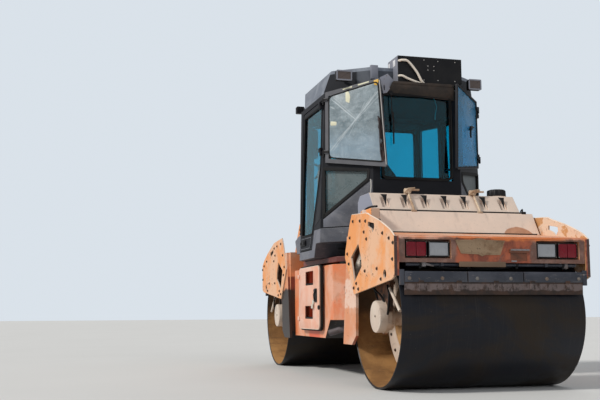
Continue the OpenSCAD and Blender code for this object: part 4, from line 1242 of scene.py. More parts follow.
def step_parts():
    """Rounded step covers with two foot holes, rubber round them that also stands for the cover's shadow, a pale
    painted highlight along the rim, lips under the holes, latch with a key.
    """
    back = COVER_Y - 0.038
    outline = rounded_box_outline((-0.13, 0.43), (0.62, 1.04), 0.055, 8)
    feet = ((0.08, 0.37, 0.86, 0.996), (0.1, 0.39, 0.53, 0.656))
    holes = [rounded_box_outline((x0, z0), (x1, z1), 0.01, 4) for x0, x1, z0, z1 in feet]
    skin = pierced([outline] + holes, COVER_Y - 0.01, COVER_Y, "y", 0.003)
    skirt = surround(outline, 0.012, back, COVER_Y - 0.008, "y", 0.002)
    hinge = []
    for z in (0.472, 0.896):
        hinge.append(bar((0.59, COVER_Y - 0.002, z + 0.0403), (0.632, COVER_Y + 0.012, z + 0.08), 0.003, "z", 0.004))
        hinge.append(turned([(z + 0.041, 0.008), (z + 0.08, 0.008)], (0.632, COVER_Y + 0.006, 0), "z", 20))
    # Partly painted shade: the black rubber round the cover also stands for the cover's shadow.
    gasket = [surround(inset(outline, -0.014), 0.016, back + 0.001, COVER_Y - 0.012, "y", 0.005)]
    # Painted highlight: a pale bead along the cover's rim.
    worn = [surround(inset(outline, -0.001), 0.007, COVER_Y - 0.006, COVER_Y + 0.0012, "y", 0.002)]
    lips = []
    for x0, x1, z0, z1 in feet:
        lips.append(bar((x0 + 0.002, COVER_Y - 0.03, z0 - 0.002), (x1 - 0.002, COVER_Y - 0.002, z0 + 0.018), 0.003,
                        "x", 0.006))
    latch = [bar((-0.06, COVER_Y - 0.002, 0.69), (0.022, COVER_Y + 0.008, 0.822), 0.003, "y", 0.014),
             bar((-0.05, COVER_Y + 0.006, 0.79), (0.012, COVER_Y + 0.018, 0.815), 0.003, "y", 0.008),
             tube([(-0.02, COVER_Y + 0.01, 0.8), (-0.024, COVER_Y + 0.022, 0.76), (-0.03, COVER_Y + 0.018, 0.7)],
                  0.008, 10), turned([(COVER_Y - 0.002, 0.022), (COVER_Y + 0.01, 0.02), (COVER_Y + 0.013, 0.012)],
                                     (-0.125, 0, 0.64), "y", 24)]
    key = [turned([(COVER_Y + 0.004, 0.026), (COVER_Y + 0.012, 0.024), (COVER_Y + 0.015, 0.012)], (0.055, 0, 0.69),
                  "y", 24), bar((0.035, COVER_Y + 0.012, 0.63), (0.092, COVER_Y + 0.02, 0.672), 0.002, "y", 0.01)]
    parts = (("door", [skin, skirt] + hinge, STEP_PAINT, "orange_paint"), ("gasket", gasket, RUBBER, "rubber"),
             ("highlight_edge", worn, PALE_RIM, "orange_paint"), ("lips", lips, RUBBER, "rubber"),
             ("latch", latch, BLACK_PLASTIC, "black_plastic"), ("key", key, KEY_PALE, "bare_steel"))
    for name, side in SIDES:
        for label, shapes, finish, slot_name in parts:
            made = piece(f"step_{label}_{name}", shifted(joined(shapes), flip=(1, side, 1)), f"{name}_step", finish)
            if label == "door":
                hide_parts(f"step_cover_{name}")


def exhaust():
    """Tail pipe that turns out of the cut corner of the box, with a dark disc in its mouth as painted shade."""
    route = [(-0.42, 0.56, 0.518), (-0.42, 0.562, 0.49), (-0.4, 0.59, 0.456), (-0.335, 0.655, 0.425),
             (-0.275, 0.712, 0.404)]
    made = piece("tail_pipe", tube(route, 0.03, 24, 8), FRONT, PIPE_DARK)
    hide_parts("exhaust_pipe")
    mouth = np.array(route[-1]) - np.array(route[-2])
    mouth /= np.linalg.norm(mouth)
    end = np.array(route[-1])
    # Painted shade: a dark disc set in the pipe's end stands for its hollow.
    piece("pipe_mouth_shade", tube([end - mouth * 0.01, end + mouth * 0.0008], 0.026, 24, 1), FRONT, LINER)
    collar = [tube([(-0.42, 0.56, 0.5), (-0.42, 0.56, 0.52)], 0.036, 24, 1)]
    piece("pipe_collar", collar, FRONT, STEEL)


step_parts()
exhaust()


# Water tank.


def tank_parts():
    """Buckles that hold the tank, the lobed cap on its neck, a latch, seals, black plates in the pockets as painted
    shade, and the flange and seal of the left end."""
    for number, y in enumerate((0.32, -0.28), 1):
        foot = [(-1.432, y, 1.415), (-1.436, y, 1.45), (-1.378, y, 1.52), (-1.318, y, 1.602), (-1.3, y, 1.618)]
        strap = tube(foot, 0.01, 10)
        head = [turned([(y - 0.03, 0.016), (y - 0.026, 0.02), (y + 0.026, 0.02), (y + 0.03, 0.016)],
                       (-1.305, 0, 1.618), "y", 20),
                bar((-1.33, y - 0.022, 1.592), (-1.262, y + 0.022, 1.606), 0.003, "z", 0.008),
                bar((-1.318, y - 0.105, 1.618), (-1.296, y - 0.02, 1.634), 0.004, "y", 0.006),
                bar((-1.446, y - 0.024, 1.398), (-1.426, y + 0.024, 1.44), 0.003, "x", 0.006),
                tube([(-1.33, y + 0.04, 1.6), (-1.345, y + 0.01, 1.628), (-1.318, y - 0.06, 1.64)], 0.007, 8)]
        made = piece(f"tank_buckle_{number}", [strap] + head, REAR, BUCKLE)
        if number == 1:
            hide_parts("tank_clamps")
    low, high = size_of("tank_cap")
    mid = (low + high) / 2
    a = np.linspace(0, TURN, 120, endpoint=False)
    lobes = 1 + 0.055 * np.cos(10 * a)
    rings = []
    for z, r, wave in ((0, 0.07, 0), (0.01, 0.074, 0), (0.014, 0.08, 1), (0.058, 0.078, 1), (0.066, 0.073, 0.7),
                       (0.069, 0.064, 0.2), (0.064, 0.058, 0), (0.064, 0.02, 0), (0.066, 0.016, 0), (0.066, 0.004, 0)):
        radius = r * (1 + (lobes - 1) * wave)
        rings.append(np.stack([mid[0] + radius * np.cos(a), mid[1] + radius * np.sin(a), np.full(120, low[2] + z)], 1))
    made = piece("lobed_filler_cap", loft(np.array(rings)), "filler_cap", BLACK_PLASTIC, 50)
    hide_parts("tank_cap")
    neck = turned([(TANK_HIGH[2] - 0.002, 0.094), (TANK_HIGH[2] + 0.004, 0.094), (TANK_HIGH[2] + 0.007, 0.088),
                   (TANK_HIGH[2] + 0.007, 0.08)], (mid[0], mid[1], 0), "z", 48)
    piece("filler_neck", neck, REAR, BEIGE)
    latch = [bar((-1.445, -0.712, 1.4), (-1.405, -0.668, 1.446), 0.004, "x", 0.006),
             tube([(-1.42, -0.69, 1.446), (-1.4, -0.7, 1.47), (-1.385, -0.69, 1.452)], 0.006, 8)]
    piece("tank_latch", latch, REAR, BLACK_PLASTIC)
    seal = tube([(-1.432, -0.7, 1.434), (-1.432, 0.7, 1.434)], 0.007, 8, 1)
    cover_low = size_of("tank_cover")[0]
    foot = tube([(cover_low[0] - 0.002, -0.742, cover_low[2] + 0.004),
                 (cover_low[0] - 0.002, 0.742, cover_low[2] + 0.004)], 0.006, 8, 1)
    piece("cover_seals", [seal, foot], REAR, RUBBER)
    slope = np.array([0.09, 0.152]) / math.hypot(0.09, 0.152)
    out = np.array([-slope[1], slope[0]])
    # Painted shade: black triangular plates lie in the pockets of the sloping face.
    shade_wedges = []
    for y in np.arange(-0.53, 0.56, 0.18):
        flat = plate([(y + 0.029, 0.157), (y - 0.029, 0.157), (y - 0.022, 0.135), (y + 0.004, 0.03),
                      (y + 0.012, 0.125)], 0.0012, 0.004, "x", 0.0004)
        x = -1.42 + flat[0][:, 2] * slope[0] + flat[0][:, 0] * out[0]
        z = 1.44 + flat[0][:, 2] * slope[1] + flat[0][:, 0] * out[1]
        shade_wedges.append(facing_out(np.column_stack([x, flat[0][:, 1], z]), flat[1]))
    piece("pocket_shades", shade_wedges, REAR, RUBBER)
    flange = bar((-1.57, 0.668, 1.3), (-1.3, 0.742, 1.432), 0.003, "x", 0.006)
    piece("tank_side_flange", flange, REAR, PAINT)
    lap = tube([(-1.25, 0.69, 1.42), (-1.285, 0.69, 1.45), (-1.42, 0.69, 1.456), (-1.56, 0.69, 1.446)], 0.009, 10)
    piece("tank_side_seal", lap, REAR, RUBBER)


tank_parts()


# Cab: window seals, leaf windows, doors, roof, cooler, straps and inside.

CORNER = np.array([-0.7255, -0.6882])
CORNER_OUT = np.array([-0.6882, 0.7255])
CORNER_LEN = 0.5376
POST = np.array([-0.36, 0.8])
ROOF_Z = ROOF_LOW[2]
BELT_Z = 1.372
SIDE_FOOT_Y, SIDE_FOOT_Z = 0.826, 1.11
SIDE_LEAN = 0.05 / 1.55


def on_corner(shape, side=1):
    """A shape drawn with X along the left rear corner face, Y out of it and Z up, set at the door post; side -1
    mirrors it to the right."""
    points, faces = shape
    flat = POST + points[:, :1] * CORNER + points[:, 1:2] * CORNER_OUT
    points = np.column_stack([flat, points[:, 2]])
    moved = facing_out(points, faces)
    return shifted(moved, flip=(1, side, 1))


def side_y(z):
    """Y of the cab's side plane at a height: it leans in by 50 mm over 1.55 m."""
    return SIDE_FOOT_Y - SIDE_LEAN * (z - SIDE_FOOT_Z)


def on_side(shape, side=1):
    """A shape drawn with Y out of the upright side plane is moved on to the leaning one."""
    points, faces = shape
    points = points.copy()
    points[:, 1] += side_y(points[:, 2])
    return shifted((points, faces), flip=(1, side, 1))


def seals():
    """Black rubber round every window opening, as frames that follow the outlines of the panes."""
    low = [(0.014, BELT_Z + 0.108), (CORNER_LEN - 0.052, BELT_Z + 0.424), (CORNER_LEN - 0.042, BELT_Z + 0.512),
           (0.014, BELT_Z + 0.561)]
    low = rounded(inset(low, -0.012), 0.03)
    shapes = [on_corner(surround(low, 0.03, -0.01, 0.005, "y", 0.003), side) for side in (1, -1)]
    rear = rounded_box_outline((-0.348, 1.798), (0.348, ROOF_Z - 0.06), 0.05)
    shapes.append(surround(rear, 0.022, -0.744, -0.764, "x", 0.003))
    shield = rounded_box_outline((-0.59, 1.44), (0.59, ROOF_Z - 0.09), 0.05)
    shapes.append(surround(shield, 0.022, 0.736, 0.754, "x", 0.003))
    piece("window_rubber", shapes, FRONT, RUBBER)
    pane = [(0.339, 1.335), (0.339, ROOF_Z - 0.096), (-0.306, ROOF_Z - 0.096), (-0.306, 1.962), (-0.062, 1.335)]
    for name, side in SIDES:
        shape = surround(rounded(inset(pane, -0.002), 0.035), 0.018, -0.012, 0.003, "y", 0.002)
        piece(f"door_rubber_{name}", on_side(shape, side), f"{name}_door", RUBBER)


def leaf_windows():
    """Both rear corner leaves: film sheet or glass on the outer face, seal, edge strip, hinge caps and handles."""
    sheet = rounded([(0.096, 2.03), (0.664, 1.94), (0.611, ROOF_Z + 0.024), (0.098, ROOF_Z - 0.052)], 0.045)
    film = plate(sheet, 0.0262, 0.0292, "y", 0.001)
    made = piece("film_sheet", on_corner(film), "left_vent", FILM)
    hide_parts("vent_glass_left")
    seal = surround(inset(sheet, -0.009), 0.013, 0.024, 0.0325, "y", 0.002)
    piece("leaf_rubber_left", on_corner(seal), "left_vent", RUBBER)
    strip = tube([(0.684, 0.0275, 1.91), (0.628, 0.0275, 2.696)], 0.0035, 8, 1)
    piece("leaf_edge_strip", on_corner(strip), "left_vent", STRAP_PALE)
    patches = []
    for s0, s1 in ((0.245, 0.345), (0.405, 0.52)):
        z0, z1 = 2.622 + 0.129 * s0, 2.622 + 0.129 * s1
        patches.append(plate([(s0, z0), (s1, z1), (s1, z1 + 0.013), (s0, z0 + 0.013)], 0.0265, 0.028, "y", 0.0004))
    patches.append(plate(rounded([(0.275, 2.54), (0.315, 2.52), (0.325, 2.58), (0.31, 2.632), (0.275, 2.636)], 0.01),
                         0.0288, 0.0298, "y", 0.0004))
    patches.append(plate(rounded([(0.11, 2.33), (0.175, 2.326), (0.178, 2.36), (0.112, 2.372)], 0.012), 0.0288, 0.0298,
                         "y", 0.0004))
    piece("blank_labels", [on_corner(p) for p in patches], "left_vent", LABEL)
    tape = plate(rounded([(0.575, 2.655), (0.606, 2.65), (0.622, 2.69), (0.616, 2.708), (0.57, 2.7)], 0.006), 0.027,
                 0.0302, "y", 0.0005)
    piece("yellow_tape", on_corner(tape), "left_vent", YELLOW)
    t = np.linspace(0, 1, 24)
    width = 0.01 + 0.006 * np.sin(9 * t) + 0.004 * np.sin(31 * t + 1)
    mid_s = 0.622 + 0.012 * np.sin(2.1 * t) + 0.018 * t
    mid_z = 2.343 - 0.4 * t
    edge = np.vstack([np.stack([mid_s - width, mid_z], 1), np.stack([mid_s + width, mid_z], 1)[::-1]])
    remnant = plate(edge, 0.029, 0.035, "y", 0.0006)
    grip = tube([(0.612, 0.034, 2.36), (0.63, 0.046, 2.3), (0.637, 0.046, 2.05), (0.646, 0.034, 1.96)], 0.006, 8)
    piece("torn_grip", [on_corner(remnant), on_corner(grip)], "left_vent", RUST_DARK)
    leaf = rounded([(0.05, 1.985), (0.6776, 1.892), (0.6876, 1.904), (0.6296, 2.706), (0.6196, 2.716), (0.054, 2.656)],
                   0.006)
    made = piece("leaf_rail_right", on_corner(surround(leaf, 0.017, 0.004, 0.026, "y", 0.003), -1), "right_vent",
                 FRAME_BLACK)
    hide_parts("vent_right")
    pane = rounded([(0.066, 1.998), (0.668, 1.909), (0.613, 2.702), (0.07, 2.64)], 0.02)
    made = piece("leaf_pane_right", on_corner(plate(pane, 0.012, 0.018, "y", 0.001), -1), "right_vent", GLASS_BLUE)
    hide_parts("vent_glass_right")
    seal = surround(pane, 0.009, 0.016, 0.024, "y", 0.002)
    piece("leaf_rubber_right", on_corner(seal, -1), "right_vent", RUBBER)
    handle = [tube([(0.3, 0.019, 2.335), (0.3, 0.05, 2.335)], 0.01, 12, 1),
              tube([(0.275, 0.052, 2.352), (0.33, 0.054, 2.35), (0.358, 0.054, 2.33), (0.364, 0.054, 2.24)], 0.009,
                   10), tube([(0.262, 0.02, 2.35), (0.262, 0.03, 2.35)], 0.022, 16, 1)]
    piece("leaf_handle_right", [on_corner(h, -1) for h in handle], "right_vent", BLACK_PLASTIC)
    for name, side in SIDES:
        caps = []
        for z in (2.04, 2.54):
            caps.append(turned([(z - 0.004, 0.006), (z, 0.0105), (z + 0.06, 0.0105), (z + 0.064, 0.006)],
                               (0.034, 0.03, 0), "z", 20))
            caps.append(bar((0.04, 0.0272, z + 0.032), (0.092, 0.0362, z + 0.058), 0.002, "y", 0.005))
        piece(f"leaf_hinge_caps_{name}", [on_corner(c, side) for c in caps], f"{name}_vent", BLACK_PLASTIC)


def door_parts():
    """Door handles, latches, hinge caps and lower panels."""
    for name, side in SIDES:
        body = f"{name}_door"
        latch = [bar((0.175, 0.001, 1.245), (0.352, 0.009, 1.305), 0.003, "y", 0.012),
                 bar((0.195, 0.008, 1.257), (0.275, 0.016, 1.295), 0.003, "y", 0.01),
                 turned([(0.008, 0.016), (0.016, 0.014), (0.017, 0.006)], (0.322, 0, 1.275), "y", 24)]
        piece(f"door_latch_{name}", [on_side(p, side) for p in latch], body, BLACK_PLASTIC)
        panel = surround(rounded([(0.35, 1.212), (0.35, 1.318), (-0.03, 1.318), (0.004, 1.212)], 0.02), 0.005, 0.0,
                         0.004, "y", 0.001)
        piece(f"door_crease_{name}", on_side(panel, side), body, PANEL_GREY)
        rail = [tube([(0.291, -0.045, 2.076), (0.18, -0.075, 2.066), (-0.005, -0.075, 1.999), (0.02, -0.068, 1.93),
                      (0.034, -0.045, 1.896)], 0.011, 12)]
        piece(f"grab_rail_{name}", [on_side(p, side) for p in rail], body, BLACK_PLASTIC)


def mirror_parts():
    """Outside mirror on a tube arm at the front left post."""
    arm = tube([(0.6, 0.716, 2.15), (0.68, 0.7, 2.16), (0.735, 0.64, 2.2), (0.748, 0.6, 2.3)], 0.01, 12)
    upper = tube([(0.6, 0.706, 2.56), (0.69, 0.69, 2.57), (0.74, 0.64, 2.54), (0.748, 0.6, 2.46)], 0.01, 12)
    outline = rounded_box_outline((0.515, 2.225), (0.665, 2.545), 0.03)
    shell = plate(outline, 0.752, 0.79, "x", 0.008)
    glass = plate(inset(outline, 0.01), 0.7495, 0.7525, "x", 0.001)
    piece("mirror_arm", [arm, upper], FRONT, BLACK_PLASTIC)
    piece("mirror_shell", shell, FRONT, BLACK_PLASTIC)
    piece("mirror_face", glass, FRONT, MIRROR)


def roof_parts():
    """Ribs on the roof top, the post and kite plate at the cooler, and the shelf's rim and curved underside."""
    ribs = [bar((x, -0.52, ROOF_HIGH[2] - 0.002), (x + 0.04, 0.52, ROOF_HIGH[2] + 0.004), 0.002, "y", 0.004)
            for x in (-0.1, 0.12, 0.34)]
    piece("roof_ribs", ribs, FRONT, ROOF_GREY)
    kite = pierced([[(0.288, 2.776), (0.215, 2.702), (0.298, 2.595), (0.335, 2.586), (0.364, 2.735)],
                    [(0.318, 2.668), (0.33, 2.662), (0.326, 2.616), (0.318, 2.62)]], -0.785, -0.779, "x", 0.001)
    post = bar((-0.655, 0.332, 2.755), (-0.62, 0.404, 2.888), 0.003, "z", 0.004)
    places = [(-0.785, 0.322, 2.722), (-0.785, 0.27, 2.655), (-0.785, 0.3, 2.755)]
    rivets = repeated(stud(0.004, 0.002, -1, "x"), places)
    foot = bar((-0.78, 0.255, 2.64), (-0.64, 0.262, 2.72), 0.002, "y", 0.003)
    piece("kite_bracket", [kite, post, foot], FRONT, SHEET_GREY)
    piece("kite_rivets", rivets, FRONT, STEEL)
    shelf_rim = bar((-0.806, -0.36, 2.68), (-0.796, 0.24, 2.706), 0.002, "y", 0.004)
    piece("shelf_rim", shelf_rim, FRONT, BLOTCHED)
    upper = np.array([(-0.801, 0.25, 2.69), (-0.801, -0.36, 2.69)])
    lower = np.array([(-0.758, 0.288, 2.602), (-0.758, -0.384, 2.566)])
    t = np.linspace(0, 1, 9)[:, None, None]
    sheet = upper * (1 - t) + lower * t
    sheet[..., 0] -= 0.01 * np.sin(np.pi * t[..., 0])
    sheet = np.concatenate([sheet, sheet[:, ::-1] + (0.0, 0.0, 0.004)], axis=1)
    piece("shelf_underside", [loft(sheet), tube(lower, 0.006, 10, 1)], FRONT, BLOTCHED)


def cooler_parts():
    """Cooler on the roof: rivets, two hoses that run into the shelf, a side panel with blank labels, fan guards."""
    dots = [(-0.76, y, z) for y, z in ((0.095, 2.933), (-0.085, 2.936), (-0.226, 2.931), (-0.399, 2.933),
                                       (-0.124, 2.881), (-0.184, 2.88), (-0.123, 2.842), (-0.183, 2.841),
                                       (-0.081, 2.744), (-0.222, 2.748), (-0.394, 2.749))]
    piece("cooler_rivets", repeated(stud(0.0045, 0.002, -1, "x"), dots), FRONT, STRAP_PALE)
    upper = [(-0.752, 0.17, 2.914), (-0.776, 0.13, 2.918), (-0.782, 0.079, 2.904), (-0.784, 0.001, 2.813),
             (-0.78, -0.045, 2.735), (-0.77, -0.08, 2.702)]
    lower = [(-0.752, 0.172, 2.77), (-0.775, 0.14, 2.768), (-0.782, 0.082, 2.741), (-0.782, -0.006, 2.712),
             (-0.768, -0.07, 2.702)]
    piece("cooler_hoses", [tube(upper, 0.011, 12), tube(lower, 0.011, 12)], FRONT, HOSE_GREY)
    top = 2.965
    label = [plate(rounded_box_outline((-0.555, 2.748), (-0.52, 2.94), 0.004), 0.1785, 0.18, "y", 0.0004),
             plate(rounded_box_outline((-0.7, 2.88), (-0.64, 2.94), 0.004), 0.1785, 0.18, "y", 0.0004)]
    piece("cooler_blank_labels", label, FRONT, WHITE_LABEL)
    side_panel = plate(rounded_box_outline((-0.757, 2.712), (-0.504, 2.96), 0.006), 0.1755, 0.1785, "y", 0.001)
    piece("cooler_side_panel", side_panel, FRONT, SHEET_GREY)
    rings, blades = [], []
    for y in (0.02, -0.31):
        for r in (0.1, 0.078, 0.056, 0.034):
            a = np.linspace(0, TURN, 40, endpoint=False)
            path = np.stack([-0.63 + r * np.cos(a), y + r * np.sin(a), np.full(40, top + 0.001)], axis=1)
            rings.append(tube(np.vstack([path, path[:1]]), 0.0022, 6, 1))
        for k in range(3):
            turn = Matrix.Rotation(k * TURN / 6, 4, "Z")
            spoke = bar((-0.1, -0.003, -0.001), (0.1, 0.003, 0.003), 0.001, "z", 0.002)
            blades.append(shifted(spoke, (-0.63, y, top), turn))
    piece("cooler_fan_guards", rings + blades, FRONT, STEEL)


def work_lamp(low, high, axis, side):
    """One work lamp: housing, a raised rim and a lens that faces along an axis."""
    low, high = np.minimum(low, high), np.maximum(low, high)
    keep = [i for i in range(3) if "xyz"[i] != axis]
    along = "xyz".index(axis)
    face = high[along] if side > 0 else low[along]
    back = low[along] if side > 0 else high[along]
    outline = rounded_box_outline(low[keep], high[keep], 0.01)
    body = plate(outline, *sorted((back, face - 0.01 * side)), axis, 0.004)
    rim = facing_out(*surround(outline, 0.009, face - 0.012 * side, face, axis, 0.002 * side))
    glass = plate(inset(outline, 0.008), *sorted((face - 0.012 * side, face - 0.004 * side)), axis, 0.003)
    return body, rim, glass


def work_lamps():
    """Rear pair under the roof corners and front pair at the front posts."""
    y = 0.77
    cases, rims, lenses = [], [], []
    boxes = [((-0.62, y - 0.19, 2.734), (-0.56, y - 0.042, 2.828), "x", -1),
             ((-0.62, 0.035 - y, 2.722), (-0.56, 0.165 - y, 2.822), "x", -1)]
    for side in (1, -1):
        boxes.append(((0.66, side * (y - 0.076), 2.692), (0.72, side * (y + 0.008), 2.766), "x", 1))
    for low, high, axis, side in boxes:
        case, rim, glass = work_lamp(np.array(low), np.array(high), axis, side)
        cases.append(case)
        rims.append(rim)
        lenses.append(glass)
    yokes = []
    for side, a, z in ((1, y - 0.115, 2.825), (-1, y - 0.1, 2.815)):
        yokes.append(tube([(-0.56, side * a, z - 0.03), (-0.53, side * a, z - 0.03), (-0.49, side * a, z - 0.035)],
                          0.012, 10, 1))
    for side in (1, -1):
        yokes.append(bar((0.545, side * (y - 0.112), 2.706), (0.662, side * (y - 0.062), 2.738), 0.003, "x", 0.004))
    made = piece("work_lamp_cases", cases + yokes, FRONT, BLACK_PLASTIC)
    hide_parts("work_lamps")
    piece("work_lamp_rims", rims, FRONT, SHEET_GREY)
    piece("work_lamp_lenses", lenses, FRONT, LAMP_BROWN)


def inside_cab():
    """Headliner, visor, wiper, straps, floor mat, arm rests, dash unit, steering wheel with its desk, pedals."""
    liner = plate(rounded([(-0.7, 0.36), (-0.42, 0.66), (0.42, 0.68), (0.68, 0.56), (0.68, -0.56), (0.42, -0.68),
                           (-0.42, -0.66), (-0.7, -0.36)], 0.06), ROOF_Z - 0.052, ROOF_Z - 0.006, "z", 0.012)
    visor = plate(rounded([(0.56, 2.565), (-0.1, 2.565), (-0.1, 2.535), (-0.56, 2.535), (-0.56, 2.64), (0.56, 2.64)],
                          0.01), 0.66, 0.676, "x", 0.003)
    ducts = bar((0.3, -0.5, ROOF_Z - 0.11), (0.64, 0.5, ROOF_Z - 0.045), 0.012, "y", 0.02)
    piece("headliner", [liner, visor, ducts], FRONT, LINER)
    wiper = [tube([(-0.768, 0.253, 2.6), (-0.77, 0.252, 2.572), (-0.768, 0.244, 2.35)], 0.005, 8),
             bar((-0.772, 0.226, 2.123), (-0.765, 0.24, 2.42), 0.002, "z", 0.002),
             turned([(-0.775, 0.02), (-0.765, 0.022), (-0.75, 0.022)], (0, 0.253, 2.6), "x", 20)]
    piece("rear_wiper", wiper, FRONT, BLACK_PLASTIC)
    straps = [tube([(-0.7, -0.189, 2.612), (-0.702, -0.222, 2.517), (-0.7, -0.215, 2.45), (-0.698, -0.209, 2.382)],
                   0.005, 8),
              tube([(-0.7, -0.374, 2.622), (-0.702, -0.38, 2.5), (-0.7, -0.386, 2.38), (-0.7, -0.388, 2.257)], 0.006,
                   8)]
    piece("hanging_straps", straps, FRONT, STRAP_PALE)
    mat = bar((-0.66, -0.6, 1.19), (0.66, 0.6, 1.197), 0.003, "z", 0.05)
    piece("floor_mat", mat, FRONT, RUBBER)
    folded = plate(rounded([(0.175, 1.7), (0.175, 2.06), (0.115, 2.015), (0.024, 1.9), (0.024, 1.7)], 0.025), -0.285,
                   -0.235, "x", 0.01)
    rests = [folded, bar((-0.12, 0.655, 1.87), (0.18, 0.69, 1.905), 0.012, "x", 0.012),
             bar((-0.26, 0.16, 1.66), (-0.21, 0.215, 1.74), 0.006, "z", 0.006),
             bar((-0.14, 0.665, 1.68), (-0.09, 0.685, 1.88), 0.006, "z", 0.006),
             tube([(0.1, 0.672, 1.9), (0.11, 0.672, 1.98), (0.13, 0.672, 2.02)], 0.009, 10),
             turned([(2.01, 0.008), (2.02, 0.02), (2.045, 0.022), (2.06, 0.012)], (0.13, 0.672, 0), "z", 20)]
    piece("arm_rests", rests, FRONT, BLACK_PLASTIC)
    screen = [bar((0.6, 0.1, 1.7), (0.64, 0.3, 1.86), 0.006, "y", 0.008)]
    knobs = [turned([(1.7, 0.012), (1.712, 0.012), (1.716, 0.006)], (0.62, y, 0), "z", 16) for y in (0.03, 0.06, 0.34)]
    piece("dash_unit", screen + knobs, FRONT, BLACK_PLASTIC)
    a = np.linspace(0, TURN, 49)
    tilt = math.radians(-30)
    rim = np.stack([0.18 * np.cos(a), 0.18 * np.sin(a), np.zeros(49)], axis=1)
    turn = Matrix.Rotation(tilt, 4, "Y")
    wheel = [tube(rim, 0.0145, 14, 1), turned([(-0.02, 0.035), (0.01, 0.042), (0.016, 0.02)], (0, 0, 0), "z", 24)]
    for k in range(3):
        arm = bar((0.03, -0.012, -0.006), (0.172, 0.012, 0.004), 0.002, "x", 0.003)
        wheel.append(shifted(arm, matrix=Matrix.Rotation(k * TURN / 3, 4, "Z")))
    knob = turned([(0.01, 0.008), (0.03, 0.01), (0.038, 0.021), (0.07, 0.021), (0.076, 0.01)], (0.178, 0, 0), "z", 20)
    wheel.append(shifted(knob, matrix=Matrix.Rotation(math.radians(140), 4, "Z")))
    wheel = shifted(joined(wheel), (0.47, 0.3, 1.86), turn)
    column = tube([(0.59, 0.3, 1.652), (0.482, 0.3, 1.84)], 0.026, 18, 1)
    desk = [bar((0.545, 0.005, 1.192), (0.698, 0.395, 1.69), 0.01, "z", 0.03),
            bar((0.52, 0.03, 1.6), (0.64, 0.37, 1.698), 0.012, "y", 0.03)]
    made = piece("steering_desk", desk + [column], FRONT, BLACK_PLASTIC)
    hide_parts("console")
    piece("steering_wheel", wheel, FRONT, RUBBER)
    pedals = [bar((0.47, y, 1.215), (0.54, y + 0.07, 1.235), 0.003, "y", 0.006) for y in (0.08, 0.25)]
    piece("pedals", pedals, FRONT, RUBBER)


def blacked_panes():
    """Opaque black covers on the narrow panes between each door's leaning edge and the corner post."""
    outline = rounded([(-0.35, 1.85), (-0.35, 1.47), (-0.15, 1.405)], 0.006)
    for side_name, side in SIDES:
        piece(f"blacked_pane_{side_name}", on_side(plate(outline, -0.004, 0.002, "y", 0.0015), side), FRONT,
              FRAME_BLACK)


def corner_skins():
    """Grey sheet on the rear corners below the slanting windows, and the pale strip at the left one."""
    skin = [(0.01, BELT_Z + 0.01), (CORNER_LEN - 0.01, BELT_Z + 0.01), (CORNER_LEN - 0.01, BELT_Z + 0.418),
            (0.01, BELT_Z + 0.082)]
    for side_name, side in SIDES:
        shape = on_corner(plate(skin, -0.002, 0.003, "y", 0.001), side)
        piece(f"corner_skin_{side_name}", shape, FRONT, PANEL_GREY)
    strip = tube([(-0.764, 0.461, 1.79), (-0.766, 0.458, 1.73), (-0.764, 0.467, 1.64)], 0.005, 8)
    piece("corner_strip", strip, FRONT, STRAP_PALE)


PAD_GRID, QUICK_GRID, PAD_FRAMES, CHANNEL, PAD_PULL = 0.0065, 0.012, 20, 0.007, 0.035


def crowned(low, high, crown, count=(40, 40)):
    """A closed pad on a grid of two angles: a box pushed to the superellipse |x|^n + |y|^n + |z|^n = 1, n = 6, so
    the sides pull in a little between the corners, with its top raised by crown times (1 - x^2)(1 - y^2)."""
    u = np.linspace(-np.pi / 2, np.pi / 2, count[0])[1:-1]
    v = np.linspace(0, TURN, count[1] * 2, endpoint=False)
    x = np.cos(u)[:, None] * np.cos(v)
    y = np.cos(u)[:, None] * np.sin(v)
    z = np.broadcast_to(np.sin(u)[:, None], x.shape)
    power = 6.0
    size = (np.abs(x) ** power + np.abs(y) ** power + np.abs(z) ** power) ** (-1 / power)
    unit = np.stack([x * size, y * size, z * size], axis=-1)
    pull = 1 - PAD_PULL * (1 - unit[..., :1] ** 2) * (1 - unit[..., 1:2] ** 2) * (np.abs(unit[..., 2:]) < 0.9)
    unit[..., :2] *= pull
    unit[..., 2] += crown * (1 - unit[..., 0] ** 2) * (1 - unit[..., 1] ** 2) * (unit[..., 2] > 0)
    half = (np.asarray(high) - np.asarray(low)) / 2
    return loft(unit * half + (np.asarray(high) + np.asarray(low)) / 2)


